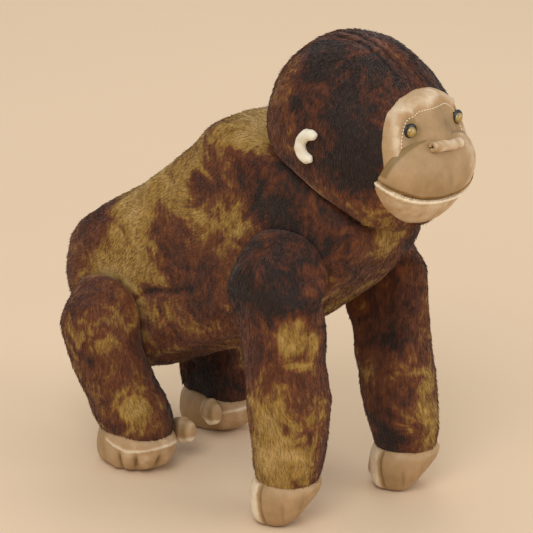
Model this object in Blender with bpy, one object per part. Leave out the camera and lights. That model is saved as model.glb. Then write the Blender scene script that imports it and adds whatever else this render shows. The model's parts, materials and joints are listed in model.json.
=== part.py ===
"""Jointed plush ape standing on all fours, facing +X, in metres with +Z up.

Plush skins are sewn over firm stuffing. The head, both arms and both legs turn on disc joints: a board
disc on each side of the two skins, drawn together by a split pin. Hands, feet, ears and face are felt.
"""
import math

import bmesh
import bpy
from mathutils import Matrix, Vector

# ---- Driving dimensions -------------------------------------------------------------------------
TORSO_LENGTH = 0.270        # rump to neck, the scale of the torso's side view
TORSO_WIDTH = 0.100         # across the flanks before they are pressed flat by the joints
JOINT_PLANE = 0.037         # centre line to the flat side of the torso, where arms and legs turn
SHOULDER_HEIGHT = 0.160     # floor to the shoulder axis
HEAD_LENGTH = 0.132         # nape to the front of the cheeks, along the neck plane
HEAD_WIDTH = 0.108
HEAD_HEIGHT = 0.097         # neck plane to crown
NECK_TILT = math.radians(25)
ARM_DEPTH = 0.080           # fore and aft, at the shoulder
ARM_THICKNESS = 0.052       # across, at the forearm
LEG_DEPTH = 0.072
LEG_THICKNESS = 0.048
HAND_HEIGHT = 0.028         # floor to wrist seam
FOOT_HEIGHT = 0.025         # floor to ankle seam

EYE_ROW = 0.70              # share of the head's spine, nape to face, where the eyes sit
EYE_ANGLE = 27              # degrees from the middle of the forehead
EAR_ROW = 0.43
EAR_ANGLE = 94
BROW_ROWS = (0.60, 0.86)
BROW_ANGLES = (24, 156)
NOSE_PLACE = (0.465, 0.72)  # shares of the head's length ahead and height up
NOSE_WIDTH = 0.022
NOSE_RADIUS = 0.0034
THUMB_RADIUS = 0.0062

SKIN = 0.0024               # plush pile, backing cloth and seam allowance
SEAM_GAP = 0.0003           # between pieces that touch
JOINT_GAP = 0.0008          # between the two skins of a joint

ARM_STRIDE = 0.010          # left hand this far ahead of the arm's own line, right hand behind it
LEG_STRIDE = -0.005         # and the feet the other way round

LIMB_DISC_RADIUS = 0.0145
NECK_DISC_RADIUS = 0.026
DISC_THICKNESS = 0.0024
WASHER_RADIUS = 0.0070
WASHER_THICKNESS = 0.0010
WIRE = 0.0017               # split pin wire
PIN_CURL = 0.0024           # radius that the pin's legs are curled to
PIN_EYE = 0.0027
PIN_CLEARANCE = 0.0004

EYE_RADIUS = 0.0052
EYE_WIRE = 0.0012
EAR_RADIUS = 0.0062
EAR_ROLL = 0.0026
FACE_FELT = 0.0016
MUZZLE_WALL = 0.0022

RINGS = 16                  # loft rings, shared by skins and stuffing
CUTTER_TURN = 0.07          # radians that a cutter's corners are turned, off the edges that it meets
POLE = 0.014                # share of a spine left open at each end, where panels gather

# ---- Places worked out from them ----------------------------------------------------------------
SHOULDER = Vector((0, 0, SHOULDER_HEIGHT))
HIP = SHOULDER + TORSO_LENGTH * Vector((-0.600, 0, -0.230))
NECK = SHOULDER + TORSO_LENGTH * Vector((0.082, 0, 0.250))
NECK_UP = Vector((math.sin(NECK_TILT), 0, math.cos(NECK_TILT)))
NECK_FORWARD = Vector((math.cos(NECK_TILT), 0, -math.sin(NECK_TILT)))
LEFT = Vector((0, 1, 0))
LIMB_PLANE = JOINT_PLANE + JOINT_GAP
PIN_HOLE = math.hypot(WIRE + SEAM_GAP / 2, WIRE / 2) + PIN_CLEARANCE
SKIN_BACK = SKIN + SEAM_GAP
DISC_BACK = SKIN_BACK + DISC_THICKNESS + SEAM_GAP
CORE_INSET = SKIN + 2 * SEAM_GAP


# ---- Materials ----------------------------------------------------------------------------------
def material(name, colour, roughness, metallic=0.0):
    made = bpy.data.materials.new(name)
    made.use_nodes = True
    shader = made.node_tree.nodes["Principled BSDF"]
    shader.inputs["Base Color"].default_value = (*colour, 1)
    shader.inputs["Roughness"].default_value = roughness
    shader.inputs["Metallic"].default_value = metallic
    return made


def clear_scene():
    for obj in list(bpy.data.objects):
        bpy.data.objects.remove(obj)


clear_scene()
PLUSH = material("mottled_plush", (0.13, 0.06, 0.02), 0.95)
FELT = material("tan_felt", (0.42, 0.30, 0.17), 0.8)
EAR_FELT = material("cream_felt", (0.70, 0.64, 0.52), 0.85)
GLASS = material("amber_glass", (0.30, 0.18, 0.04), 0.08)
WOOD_WOOL = material("stuffing", (0.60, 0.50, 0.32), 1.0)
BOARD = material("disc_board", (0.28, 0.20, 0.12), 0.85)
STEEL = material("pin_steel", (0.55, 0.55, 0.55), 0.35, 1.0)


# ---- Mesh helpers -------------------------------------------------------------------------------
def add_object(name, mesh, finish, smooth=40):
    mesh.shade_smooth()
    mesh.set_sharp_from_angle(angle=math.radians(smooth))
    mesh.materials.append(finish)
    obj = bpy.data.objects.new(name, mesh)
    bpy.context.scene.collection.objects.link(obj)
    return obj


def mesh_from(name, points, faces):
    mesh = bpy.data.meshes.new(name)
    mesh.from_pydata([tuple(p) for p in points], [], faces)
    work = bmesh.new()
    work.from_mesh(mesh)
    bmesh.ops.recalc_face_normals(work, faces=work.faces)
    bmesh.ops.triangulate(work, faces=work.faces)
    work.to_mesh(mesh)
    work.free()
    return mesh


def turned(name, profile, place, axis, finish, sides=24, start=0.0):
    """Solid of revolution: profile is (radius, height) pairs along axis from place."""
    work = bmesh.new()
    previous = None
    steps = [start + 2 * math.pi * k / sides for k in range(sides)]
    for radius, height in profile:
        if radius == 0:
            ring = [work.verts.new((0, 0, height))]
        else:
            ring = [work.verts.new((radius * math.cos(a), radius * math.sin(a), height)) for a in steps]
        if previous is not None:
            for k in range(sides):
                pair = [previous[k % len(previous)], previous[(k + 1) % len(previous)]]
                pair += [ring[(k + 1) % len(ring)], ring[k % len(ring)]]
                work.faces.new(list(dict.fromkeys(pair)))
        previous = ring
    if profile[0] == profile[-1]:
        bmesh.ops.remove_doubles(work, verts=work.verts, dist=1e-7)
    bmesh.ops.recalc_face_normals(work, faces=work.faces)
    bmesh.ops.transform(work, verts=work.verts, matrix=axis_frame(place, axis))
    mesh = bpy.data.meshes.new(name)
    work.to_mesh(mesh)
    work.free()
    return add_object(name, mesh, finish)


def axis_frame(place, axis):
    """Matrix whose Z runs along axis from place."""
    turn = Vector((0, 0, 1)).rotation_difference(Vector(axis).normalized()).to_matrix().to_4x4()
    return Matrix.Translation(place) @ turn


def disc(name, place, axis, radius, thickness, hole, finish):
    outline = [(hole, 0), (radius, 0), (radius, thickness), (hole, thickness), (hole, 0)]
    return turned(name, outline, place, axis, finish)


def cutter(name, place, axis, radius, length, sides=24):
    """A round cutter whose flats, not its corners, are at the radius."""
    corner = radius / math.cos(math.pi / sides)
    profile = [(0, 0), (corner, 0), (corner, length), (0, length)]
    return as_cutter(turned(name, profile, place, axis, BOARD, sides, start=CUTTER_TURN))


def as_cutter(obj):
    obj.hide_render = True
    obj.display_type = "WIRE"
    return obj


def cut(obj, *cutters, solver="EXACT"):
    for tool in cutters:
        change = obj.modifiers.new("cut_" + tool.name, "BOOLEAN")
        change.operation = "DIFFERENCE"
        change.solver = solver
        change.object = tool


def cut_flat(obj, *cutters):
    """Cuts through a pressed flat, whose many coplanar faces the EXACT solver leaves open."""
    cut(obj, *cutters, solver="MANIFOLD")


# ---- Lofted plush forms -------------------------------------------------------------------------
def blend_curve(values, where):
    """Smooth curve through equally spaced values."""
    k = min(int(where), len(values) - 2)
    t = where - k
    a, b = values[k], values[k + 1]
    before = values[k - 1] if k else 2 * a - b
    after = values[k + 2] if k + 2 < len(values) else 2 * b - a
    slope_a, slope_b = (b - before) / 2, (after - a) / 2
    return ((2 * t**3 - 3 * t**2 + 1) * a + (t**3 - 2 * t**2 + t) * slope_a
            + (3 * t**2 - 2 * t**3) * b + (t**3 - t**2) * slope_b)


class Form:
    """A stuffed form: oval rings along a spine, pressed flat where it meets a plane.

    Each station is (centre, over, across, rise, drop, width): rings have the axes over and across,
    reach rise above the centre, drop below it, and width to each side. Seams are (angle, sides) pairs:
    the angle around the ring where a panel starts, and how many sides the panel has. A power under 1
    makes the rings squarer than an oval.
    """

    def __init__(self, stations, press, seams, rings=RINGS, power=1.0):
        self.power = power
        self.columns = list(zip(*stations))
        self.last = len(stations) - 1
        self.press = press
        self.rows = [POLE, *(i / rings for i in range(1, rings)), 1 - POLE]
        self.panels = []
        ends = [angle for angle, sides in seams[1:]] + [seams[0][0] + 360]
        for (start, sides), end in zip(seams, ends):
            step = (end - start) / sides
            self.panels.append([math.radians(start + step * k) for k in range(sides + 1)])

    def raw(self, u, v):
        centre, over, across, rise, drop, width = (blend_curve(c, u * self.last) for c in self.columns)
        reach = max(rise if math.sin(v) > 0 else drop, 0)
        height = math.copysign(abs(math.sin(v)) ** self.power, math.sin(v))
        side = math.copysign(abs(math.cos(v)) ** self.power, math.cos(v))
        return centre + over * (reach * height) + across * (max(width, 0) * side)

    def normal(self, u, v):
        step = 0.004
        u = min(max(u, 0.02), 0.98)
        along = self.raw(u + step, v) - self.raw(u - step, v)
        around = self.raw(u, v + step) - self.raw(u, v - step)
        out = along.cross(around).normalized()
        centre = blend_curve(self.columns[0], u * self.last)
        return out if out.dot(self.raw(u, v) - centre) > 0 else -out

    def point(self, u, v, inset):
        if POLE < u < 1 - POLE:
            return self.press(self.raw(u, v) - self.normal(u, v) * inset, inset)
        spine = blend_curve(self.columns[0], abs(u - 0.05) * self.last) - self.raw(round(u), 0)
        return self.press(self.raw(u, v) + spine.normalized() * inset, inset)

    def seam_shift(self, u, v, gap):
        step = 0.01
        run = (self.raw(u, v + step) - self.raw(u, v - step)).length / (2 * step)
        return gap / 2 / max(run, 0.001)


def solid(name, form, inset, finish):
    """The closed form itself, inset by a wall."""
    angles = [v for row in form.panels for v in row[:-1]]
    sides = len(angles)
    points = [form.point(0, 0, inset)]
    for u in form.rows:
        points += [form.point(u, v, inset) for v in angles]
    points.append(form.point(1, 0, inset))
    faces = []
    last = 1 + (len(form.rows) - 1) * sides
    for k in range(sides):
        after = (k + 1) % sides
        faces.append((0, 1 + k, 1 + after))
        for low in range(1, last, sides):
            high = low + sides
            faces.append((low + k, high + k, high + after, low + after))
        faces.append((last + k, len(points) - 1, last + after))
    return add_object(name, mesh_from(name, points, faces), finish)


def panel(name, form, which, finish, outer=0.0, wall=SKIN):
    """One sewn panel of a form's skin, with half a seam gap left along each edge."""
    angles = form.panels[which]
    layers = []
    for inset in (outer, outer + wall):
        grid = []
        for u in form.rows:
            low = angles[0] + form.seam_shift(u, angles[0], SEAM_GAP)
            high = angles[-1] - form.seam_shift(u, angles[-1], SEAM_GAP)
            grid.append([form.point(u, v, inset) for v in [low, *angles[1:-1], high]])
        layers.append(grid)
    rings, across = len(form.rows) - 1, len(angles)
    size = (rings + 1) * across
    points = [p for grid in layers for row in grid for p in row]
    faces = []
    for i in range(rings):
        for k in range(across - 1):
            a = i * across + k
            face = (a, a + 1, a + across + 1, a + across)
            faces += [face, tuple(size + n for n in reversed(face))]
    rim = [i * across for i in range(rings)] + [rings * across + k for k in range(across)]
    rim += [i * across + across - 1 for i in range(rings - 1, -1, -1)] + list(range(across - 2, 0, -1))
    for a, b in zip(rim, rim[1:] + rim[:1]):
        faces.append((a, b, size + b, size + a))
    return add_object(name, mesh_from(name, points, faces), finish)


def press_to(place, point, out, inset):
    """Moves a point that stands beyond a plane, less the inset, back onto it."""
    beyond = (place - point).dot(out) + inset
    return place - out * beyond if beyond > 0 else place


def ease(value, low, high):
    t = min(max((value - low) / (high - low), 0), 1)
    return t * t * (3 - 2 * t)


# ---- Disc joints --------------------------------------------------------------------------------
def split_pin(name, place, out, across, eye_at, curl_at):
    """One wire bent double: an eye beyond the outer disc, two legs side by side, and curled ends."""
    leg = WIRE / 2 + SEAM_GAP / 2
    spread = math.asin(leg / PIN_EYE)
    curl = [(leg + PIN_CURL * (1 + math.cos(a)), curl_at + PIN_CURL * math.sin(a))
            for a in (math.radians(x) for x in range(345, 179, -33))]
    eye_centre = eye_at + PIN_EYE * math.cos(spread)
    turns = [spread + (2 * math.pi - 2 * spread) * k / 10 for k in range(11)]
    eye = [(PIN_EYE * math.sin(a), eye_centre - PIN_EYE * math.cos(a)) for a in turns]
    route = curl + [(leg, eye_at - WIRE)] + eye[0:] + [(-leg, eye_at - WIRE)]
    route += [(-q, s) for q, s in reversed(curl)]
    shape = bpy.data.curves.new(name, "CURVE")
    shape.dimensions = "3D"
    shape.bevel_depth = WIRE / 2
    shape.bevel_resolution = 1
    shape.use_fill_caps = True
    line = shape.splines.new("POLY")
    line.points.add(len(route) - 1)
    for knot, (q, s) in zip(line.points, route):
        knot.co = (*(place + across * q + out * s), 1)
    shape.materials.append(STEEL)
    obj = bpy.data.objects.new(name, shape)
    bpy.context.scene.collection.objects.link(obj)
    return obj


def disc_joint(label, place, out, across, radius, inner_skins, inner_core, outer_skins, outer_core,
               outer_name):
    """Discs, washer and pin at a joint whose torso skin ends at place, facing out."""
    outer_face = place + out * JOINT_GAP
    hole = cutter(label + "_hole", place - out * 0.012, out, PIN_HOLE, 0.024, 12)
    for skin in inner_skins + outer_skins:
        cut_flat(skin, hole)
    room = radius + SEAM_GAP
    well = WASHER_RADIUS + SEAM_GAP
    inner_depth = DISC_BACK + WASHER_THICKNESS + 2 * SEAM_GAP + 2 * PIN_CURL + WIRE
    outer_depth = DISC_BACK + 2 * PIN_EYE + 2 * WIRE
    reach = SKIN + 0.004
    inner_cuts = [
        cutter(label + "_inner_seat", place - out * DISC_BACK, out, room, reach),
        cutter(label + "_inner_well", place - out * inner_depth, out, well, inner_depth),
    ]
    outer_cuts = [
        cutter(label + "_outer_seat", outer_face + out * DISC_BACK, -out, room, reach),
        cutter(label + "_outer_well", outer_face + out * outer_depth, -out, well, outer_depth),
    ]
    cut_flat(inner_core, *inner_cuts)
    cut_flat(outer_core, *outer_cuts)
    disc(label + "_body_disc", place - out * (SKIN_BACK + DISC_THICKNESS), out, radius,
         DISC_THICKNESS, PIN_HOLE, BOARD)
    disc(outer_name + "_disc", outer_face + out * SKIN_BACK, out, radius, DISC_THICKNESS, PIN_HOLE, BOARD)
    washer_back = DISC_BACK + WASHER_THICKNESS
    disc(label + "_washer", place - out * washer_back, out, WASHER_RADIUS, WASHER_THICKNESS, PIN_HOLE,
         STEEL)
    eye_at = JOINT_GAP + DISC_BACK + WIRE / 2
    curl_at = -(washer_back + SEAM_GAP + WIRE / 2)
    split_pin(label + "_pin", place, out, across, eye_at, curl_at)


# ---- Torso --------------------------------------------------------------------------------------
def torso_form():
    """Spine from rump to neck; the flanks are pressed flat and the top is pressed to the neck plane."""
    half = TORSO_WIDTH / 2
    # along and up from the shoulder, lean of the ring in degrees, rise, drop, share of the width
    shape = [
        (-0.800, -0.175, 8, 0.000, 0.000, 0.00),
        (-0.782, -0.175, 10, 0.105, 0.130, 0.60),
        (-0.735, -0.165, 13, 0.170, 0.215, 1.06),
        (-0.640, -0.130, 18, 0.190, 0.262, 1.40),
        (-0.500, -0.060, 24, 0.200, 0.262, 1.42),
        (-0.340, 0.005, 30, 0.240, 0.262, 1.34),
        (-0.190, 0.075, 40, 0.272, 0.270, 1.36),
        (-0.070, 0.150, 52, 0.300, 0.262, 1.66),
        (0.035, 0.210, 61, 0.330, 0.215, 1.60),
        (0.082, 0.250, 65, 0.305, 0.170, 1.16),
        (0.099, 0.286, 65, 0.140, 0.088, 0.50),
        (0.103, 0.295, 65, 0.000, 0.000, 0.00),
    ]
    stations = []
    for along, up, lean, rise, drop, width in shape:
        turn = math.radians(lean)
        over = Vector((-math.sin(turn), 0, math.cos(turn)))
        centre = SHOULDER + TORSO_LENGTH * Vector((along, 0, up))
        stations.append((centre, over, LEFT, TORSO_LENGTH * rise, TORSO_LENGTH * drop, half * width))

    def press(place, inset):
        for side in (1, -1):
            place = press_to(place, LEFT * JOINT_PLANE * side, LEFT * side, inset)
        return press_to(place, NECK, NECK_UP, inset)

    return Form(stations, press, [(-73, 12), (90, 12), (253, 3)], rings=20, power=0.66)


# ---- Head ---------------------------------------------------------------------------------------
HEAD_BASE = NECK + NECK_UP * JOINT_GAP


def in_head(forward, up, side=0.0):
    """A point by its distance along and above the neck plane, as shares of the head's own sizes."""
    return (HEAD_BASE + NECK_FORWARD * (forward * HEAD_LENGTH) + NECK_UP * (up * HEAD_HEIGHT)
            + LEFT * (side * HEAD_WIDTH / 2))


def head_form():
    # share of the length ahead of the neck, centre height, rise, share of the width
    shape = [
        (-0.505, 0.430, 0.000, 0.00),
        (-0.487, 0.430, 0.200, 0.40),
        (-0.415, 0.420, 0.390, 0.72),
        (-0.280, 0.410, 0.530, 0.93),
        (-0.100, 0.400, 0.600, 1.00),
        (0.080, 0.390, 0.570, 1.00),
        (0.230, 0.380, 0.470, 0.95),
        (0.345, 0.370, 0.350, 0.84),
        (0.430, 0.340, 0.230, 0.64),
        (0.475, 0.310, 0.120, 0.36),
        (0.488, 0.300, 0.000, 0.00),
    ]
    stations = []
    for forward, up, rise, width in shape:
        drop = HEAD_HEIGHT * 0.64 * math.sqrt(width)
        stations.append((in_head(forward, up), NECK_UP, LEFT, HEAD_HEIGHT * rise, drop,
                         HEAD_WIDTH / 2 * width))

    def press(place, inset):
        return press_to(place, HEAD_BASE, -NECK_UP, inset)

    return Form(stations, press, [(-90, 10), (74, 3), (106, 10)])


# ---- Limbs --------------------------------------------------------------------------------------
def limb_form(side, joint, shape, depth, thickness, seam_height, stride, flat_radius, bulge_radius,
              inner):
    """A limb outside the joint plane near its axis, and free to widen inwards further down."""
    over = Vector((1, 0, 0))
    across = LEFT * side
    stations = []
    top = joint.z - seam_height
    for down, ahead, out, fore, wide in shape:
        centre = Vector((joint.x + ahead * depth + stride * side * down, out * side, joint.z - down * top))
        stations.append((centre, over, across, depth * fore, depth * fore, thickness * wide))

    def press(place, inset):
        radius = math.hypot(place.x - joint.x, place.z - joint.z)
        plane = LIMB_PLANE + (inner - LIMB_PLANE) * ease(radius, flat_radius, bulge_radius)
        place = press_to(place, LEFT * plane * side, LEFT * -side, inset)
        return press_to(place, Vector((0, 0, seam_height + SEAM_GAP / 2)), Vector((0, 0, -1)), inset)

    return Form(stations, press, [(-90, 8), (90, 8)], rings=12)


def arm_form(side):
    # share of the arm down from the shoulder, share of the depth ahead, distance out, fore, wide
    out = LIMB_PLANE
    shape = [
        (-0.300, 0.04, out + 0.016, 0.00, 0.00),
        (-0.285, 0.04, out + 0.015, 0.22, 0.22),
        (-0.215, 0.04, out + 0.015, 0.38, 0.36),
        (-0.080, 0.05, out + 0.015, 0.50, 0.43),
        (0.100, 0.10, out + 0.011, 0.49, 0.46),
        (0.330, 0.18, out + 0.008, 0.42, 0.52),
        (0.580, 0.25, out + 0.009, 0.38, 0.52),
        (0.800, 0.29, out + 0.011, 0.34, 0.48),
        (0.960, 0.31, out + 0.012, 0.29, 0.42),
        (1.080, 0.32, out + 0.012, 0.20, 0.30),
        (1.110, 0.32, out + 0.012, 0.00, 0.00),
    ]
    return limb_form(side, SHOULDER, shape, ARM_DEPTH, ARM_THICKNESS, HAND_HEIGHT,
                     ARM_STRIDE, 0.056, 0.090, 0.024)


def leg_form(side):
    out = LIMB_PLANE
    shape = [
        (-0.480, 0.00, out + 0.014, 0.00, 0.00),
        (-0.445, 0.00, out + 0.013, 0.22, 0.24),
        (-0.330, 0.00, out + 0.013, 0.40, 0.38),
        (-0.100, 0.01, out + 0.013, 0.50, 0.46),
        (0.180, 0.06, out + 0.012, 0.52, 0.50),
        (0.450, 0.17, out + 0.010, 0.51, 0.54),
        (0.720, 0.29, out + 0.009, 0.50, 0.53),
        (0.950, 0.37, out + 0.009, 0.46, 0.49),
        (1.130, 0.40, out + 0.009, 0.33, 0.35),
        (1.180, 0.40, out + 0.009, 0.00, 0.00),
    ]
    return limb_form(side, HIP, shape, LEG_DEPTH, LEG_THICKNESS, FOOT_HEIGHT,
                     LEG_STRIDE, 0.050, 0.076, 0.024)


def mitt(name, side, height, ahead, out, fore, wide, finish):
    """A stuffed felt hand or foot under its seam: a flat sole at the back, knuckles curled up ahead."""
    top = height - SEAM_GAP / 2
    # share of the height up, share of the half depth, share of the half depth back
    shape = [(1.22, 0.00, 0.00), (1.18, 0.55, 0.00), (1.00, 0.90, 0.00), (0.64, 1.00, 0.03),
             (0.30, 0.94, 0.12), (0.05, 0.78, 0.24), (-0.10, 0.46, 0.32), (-0.14, 0.00, 0.32)]
    stations = []
    for level, share, back in shape:
        centre = Vector((ahead - back * fore, out * side, level * height))
        stations.append((centre, Vector((1, 0, 0)), LEFT * side, fore * share, fore * share, wide * share))

    def press(place, inset):
        place = press_to(place, Vector((0, 0, top)), Vector((0, 0, 1)), inset)
        return press_to(place, Vector((0, 0, 0)), Vector((0, 0, -1)), inset)

    return solid(name, Form(stations, press, [(0, 16)], rings=8), 0, finish)


def digit(name, start, end, radius, finish, clear_of):
    """A stuffed felt thumb or big toe lying along the side of a hand or foot."""
    line = end - start
    profile = [(0, 0)]
    for k in range(1, 5):
        turn = math.pi / 2 * k / 4
        profile.append((radius * math.sin(turn), radius * (1 - math.cos(turn))))
    for k in range(4):
        turn = math.pi / 2 * k / 4
        profile.append((radius * math.cos(turn), line.length - radius + radius * math.sin(turn)))
    profile.append((0, line.length))
    obj = turned(name, profile, start, line, finish, sides=12)
    floor = press_floor(name, start)
    cut(obj, clear_of, floor)
    return obj


def press_floor(name, near):
    """A block under the floor that trims a digit to a flat sole."""
    size = 0.08
    low = [(near.x - size, near.y - size), (near.x + size, near.y - size),
           (near.x + size, near.y + size), (near.x - size, near.y + size)]
    points = [Vector((x, y, z)) for z in (-size, 0) for x, y in low]
    faces = [(0, 1, 2, 3), (4, 5, 6, 7), (0, 1, 5, 4), (1, 2, 6, 5), (2, 3, 7, 6), (3, 0, 4, 7)]
    return as_cutter(add_object(name + "_floor", mesh_from(name + "_floor", points, faces), BOARD))


# ---- Assembly -----------------------------------------------------------------------------------
def build_torso():
    form = torso_form()
    left = panel("torso_skin_left", form, 0, PLUSH)
    right = panel("torso_skin_right", form, 1, PLUSH)
    belly = panel("belly_gusset", form, 2, PLUSH)
    core = solid("torso_stuffing", form, CORE_INSET, WOOD_WOOL)
    return left, right, belly, core


def build_head(torso_skins, torso_core):
    form = head_form()
    left = panel("head_side_left", form, 0, PLUSH)
    crown = panel("head_gusset", form, 1, PLUSH)
    right = panel("head_side_right", form, 2, PLUSH)
    core = solid("head_stuffing", form, CORE_INSET, WOOD_WOOL)
    disc_joint("neck", NECK, NECK_UP, NECK_FORWARD, NECK_DISC_RADIUS, torso_skins, torso_core,
               [left, right], core, "head")
    return form, left, right, crown, core


def build_limb(label, side_name, side, form, joint, torso_skin, torso_core):
    name = label + "_" + side_name
    panel(name + "_outer_skin", form, 0, PLUSH)
    inner = panel(name + "_inner_skin", form, 1, PLUSH)
    core = solid(name + "_stuffing", form, CORE_INSET, WOOD_WOOL)
    joint_name = ("shoulder_" if label == "arm" else "hip_") + side_name
    place = joint + LEFT * JOINT_PLANE * side
    disc_joint(joint_name, place, LEFT * side, Vector((1, 0, 0)), LIMB_DISC_RADIUS, [torso_skin],
               torso_core, [inner], core, name)


def build_hand(side_name, side):
    wrist_x = SHOULDER.x + 0.31 * ARM_DEPTH + ARM_STRIDE * side
    out = LIMB_PLANE + 0.012
    fore, wide = 0.27 * ARM_DEPTH, 0.43 * ARM_THICKNESS
    mitt("hand_" + side_name, side, HAND_HEIGHT, wrist_x, out, fore, wide, FELT)
    clear = mitt("thumb_%s_clear" % side_name, side, HAND_HEIGHT + SEAM_GAP, wrist_x, out,
                 fore + SEAM_GAP, wide + SEAM_GAP, FELT)
    heel = wrist_x - fore
    start = Vector((heel - 0.001, (out - 0.25 * wide) * side, 0.003))
    end = Vector((heel + 0.003, (out - 0.25 * wide) * side, HAND_HEIGHT - SEAM_GAP))
    digit("thumb_" + side_name, start, end, THUMB_RADIUS, FELT, as_cutter(clear))


def build_foot(side_name, side):
    ankle_x = HIP.x + 0.38 * LEG_DEPTH + LEG_STRIDE * side
    out = LIMB_PLANE + 0.009
    fore, wide = 0.46 * LEG_DEPTH, 0.48 * LEG_THICKNESS
    mitt("foot_" + side_name, side, FOOT_HEIGHT, ankle_x, out, fore, wide, FELT)
    clear = mitt("big_toe_%s_clear" % side_name, side, FOOT_HEIGHT + SEAM_GAP, ankle_x, out,
                 fore + SEAM_GAP, wide + SEAM_GAP, FELT)
    start = Vector((ankle_x + 0.3 * fore, (out - 0.9 * wide) * side, FOOT_HEIGHT - 0.008))
    end = start + Vector((0.013, -0.009 * side, -0.001))
    digit("big_toe_" + side_name, start, end, THUMB_RADIUS, FELT, as_cutter(clear))


# ---- Face ---------------------------------------------------------------------------------------
def muzzle_form():
    """The padded muzzle, from inside the head to the lips; its widest line is the mouth."""
    # share of the head's length ahead, centre height, rise, drop, half width in head widths
    shape = [
        (0.220, 0.400, 0.000, 0.000, 0.00),
        (0.230, 0.400, 0.160, 0.140, 0.21),
        (0.280, 0.400, 0.250, 0.210, 0.32),
        (0.370, 0.400, 0.280, 0.225, 0.345),
        (0.450, 0.400, 0.265, 0.215, 0.330),
        (0.515, 0.395, 0.205, 0.170, 0.270),
        (0.550, 0.390, 0.115, 0.095, 0.160),
        (0.560, 0.390, 0.000, 0.000, 0.00),
    ]
    stations = []
    for forward, up, rise, drop, width in shape:
        stations.append((in_head(forward, up), NECK_UP, LEFT, HEAD_HEIGHT * rise, HEAD_HEIGHT * drop,
                         HEAD_WIDTH * width))
    return Form(stations, lambda place, inset: place, [(0, 9), (180, 9)], rings=10)


def inflated(name, form, reach):
    """A cutter that stands a clearance proud of a form."""
    return as_cutter(solid(name, form, -reach, BOARD))


def patch(name, form, rows, angles, wall, lift):
    """A piece of felt laid on a form's skin, between two of its rows and two of its angles."""
    whole = form.rows, form.panels
    form.rows = [u for u in form.rows if rows[0] <= u <= rows[1]]
    every = sorted({round(v, 6) for row in form.panels for v in row})
    form.panels = [[v for v in every if math.radians(angles[0]) <= v <= math.radians(angles[1])]]
    made = panel(name, form, 0, FELT, outer=-(lift + wall), wall=wall)
    form.rows, form.panels = whole
    return made


def face_point(form, u, v, lift):
    """A point on a form's skin, raised by a lift, and the direction out of it."""
    turn = math.radians(v)
    return form.point(u, turn, -lift), form.normal(u, turn)


def build_eye(side_name, form, v, skin, brow, core):
    place, out = face_point(form, EYE_ROW, v, SEAM_GAP + FACE_FELT + SEAM_GAP)
    sunk = 0.35 * EYE_RADIUS
    profile = [(0, 0)]
    for k in range(9):
        turn = math.asin(-sunk / EYE_RADIUS) + (math.pi / 2 + math.asin(sunk / EYE_RADIUS)) * k / 8
        profile.append((EYE_RADIUS * math.cos(turn), sunk + EYE_RADIUS * math.sin(turn)))
    profile[-1] = (0, sunk + EYE_RADIUS)
    turned("eye_" + side_name, profile, place, out, GLASS, sides=16)
    length = 0.016
    hole = cutter("eye_hole_" + side_name, place - out * (length + SEAM_GAP), out,
                  EYE_WIRE / 2 + PIN_CLEARANCE, length + 0.004, 10)
    for piece in (skin, brow, core):
        cut_flat(piece, hole)
    wire = [(0, 0), (EYE_WIRE / 2, 0), (EYE_WIRE / 2, length - 0.001), (0, length - 0.001)]
    turned("eye_wire_" + side_name, wire, place - out * length, out, STEEL, sides=8)


def build_ear(side_name, side, form, clear):
    """A rolled felt ear, open to the front, sewn flat to the side of the head."""
    place, out = face_point(form, EAR_ROW, 90 - side * EAR_ANGLE, 0.3 * EAR_ROLL)
    up = (NECK_UP - out * NECK_UP.dot(out)).normalized()
    behind = up.cross(out) * side
    turns = [math.radians(a) for a in range(-130, 96, 25)]
    points, faces, ring = [], [], 8
    for n, turn in enumerate(turns):
        along = up * (1.25 * math.sin(turn)) + behind * math.cos(turn)
        centre = place + along * EAR_RADIUS
        radius = EAR_ROLL * (1.1 if 0 < n < len(turns) - 1 else 0.7)
        for k in range(ring):
            a = 2 * math.pi * k / ring
            points.append(centre + along.normalized() * (radius * math.cos(a)) + out * (radius * math.sin(a)))
    for n in range(len(turns) - 1):
        for k in range(ring):
            a, b = n * ring + k, n * ring + (k + 1) % ring
            faces.append((a, b, b + ring, a + ring))
    faces.append(tuple(range(ring)))
    faces.append(tuple(len(points) - 1 - k for k in range(ring)))
    ear = add_object("ear_" + side_name, mesh_from("ear_" + side_name, points, faces), EAR_FELT)
    cut(ear, clear)


def build_face(head, skins, core):
    skin_clear = inflated("head_clear", head, SEAM_GAP)
    brow = patch("brow_patch", head, BROW_ROWS, BROW_ANGLES, FACE_FELT, SEAM_GAP)
    felt_clear = inflated("face_felt_clear", head, SEAM_GAP + FACE_FELT + SEAM_GAP)
    muzzle = muzzle_form()
    upper = panel("muzzle_upper", muzzle, 0, FELT, wall=MUZZLE_WALL)
    lower = panel("chin_lip", muzzle, 1, FELT, wall=MUZZLE_WALL)
    wadding = solid("muzzle_wadding", muzzle, MUZZLE_WALL + SEAM_GAP, WOOD_WOOL)
    for piece in (upper, lower, wadding):
        cut_flat(piece, felt_clear)
    muzzle_clear = inflated("muzzle_clear", muzzle, SEAM_GAP)
    for side_name, side, skin in (("left", 1, skins[0]), ("right", -1, skins[1])):
        build_eye(side_name, head, 90 - side * EYE_ANGLE, skin, brow, core)
        build_ear(side_name, side, head, skin_clear)
    nose_middle = in_head(*NOSE_PLACE)
    half = LEFT * NOSE_WIDTH / 2
    nose = digit("nose_strip", nose_middle - half, nose_middle + half, NOSE_RADIUS, FELT, felt_clear)
    cut_flat(nose, muzzle_clear)


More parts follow.
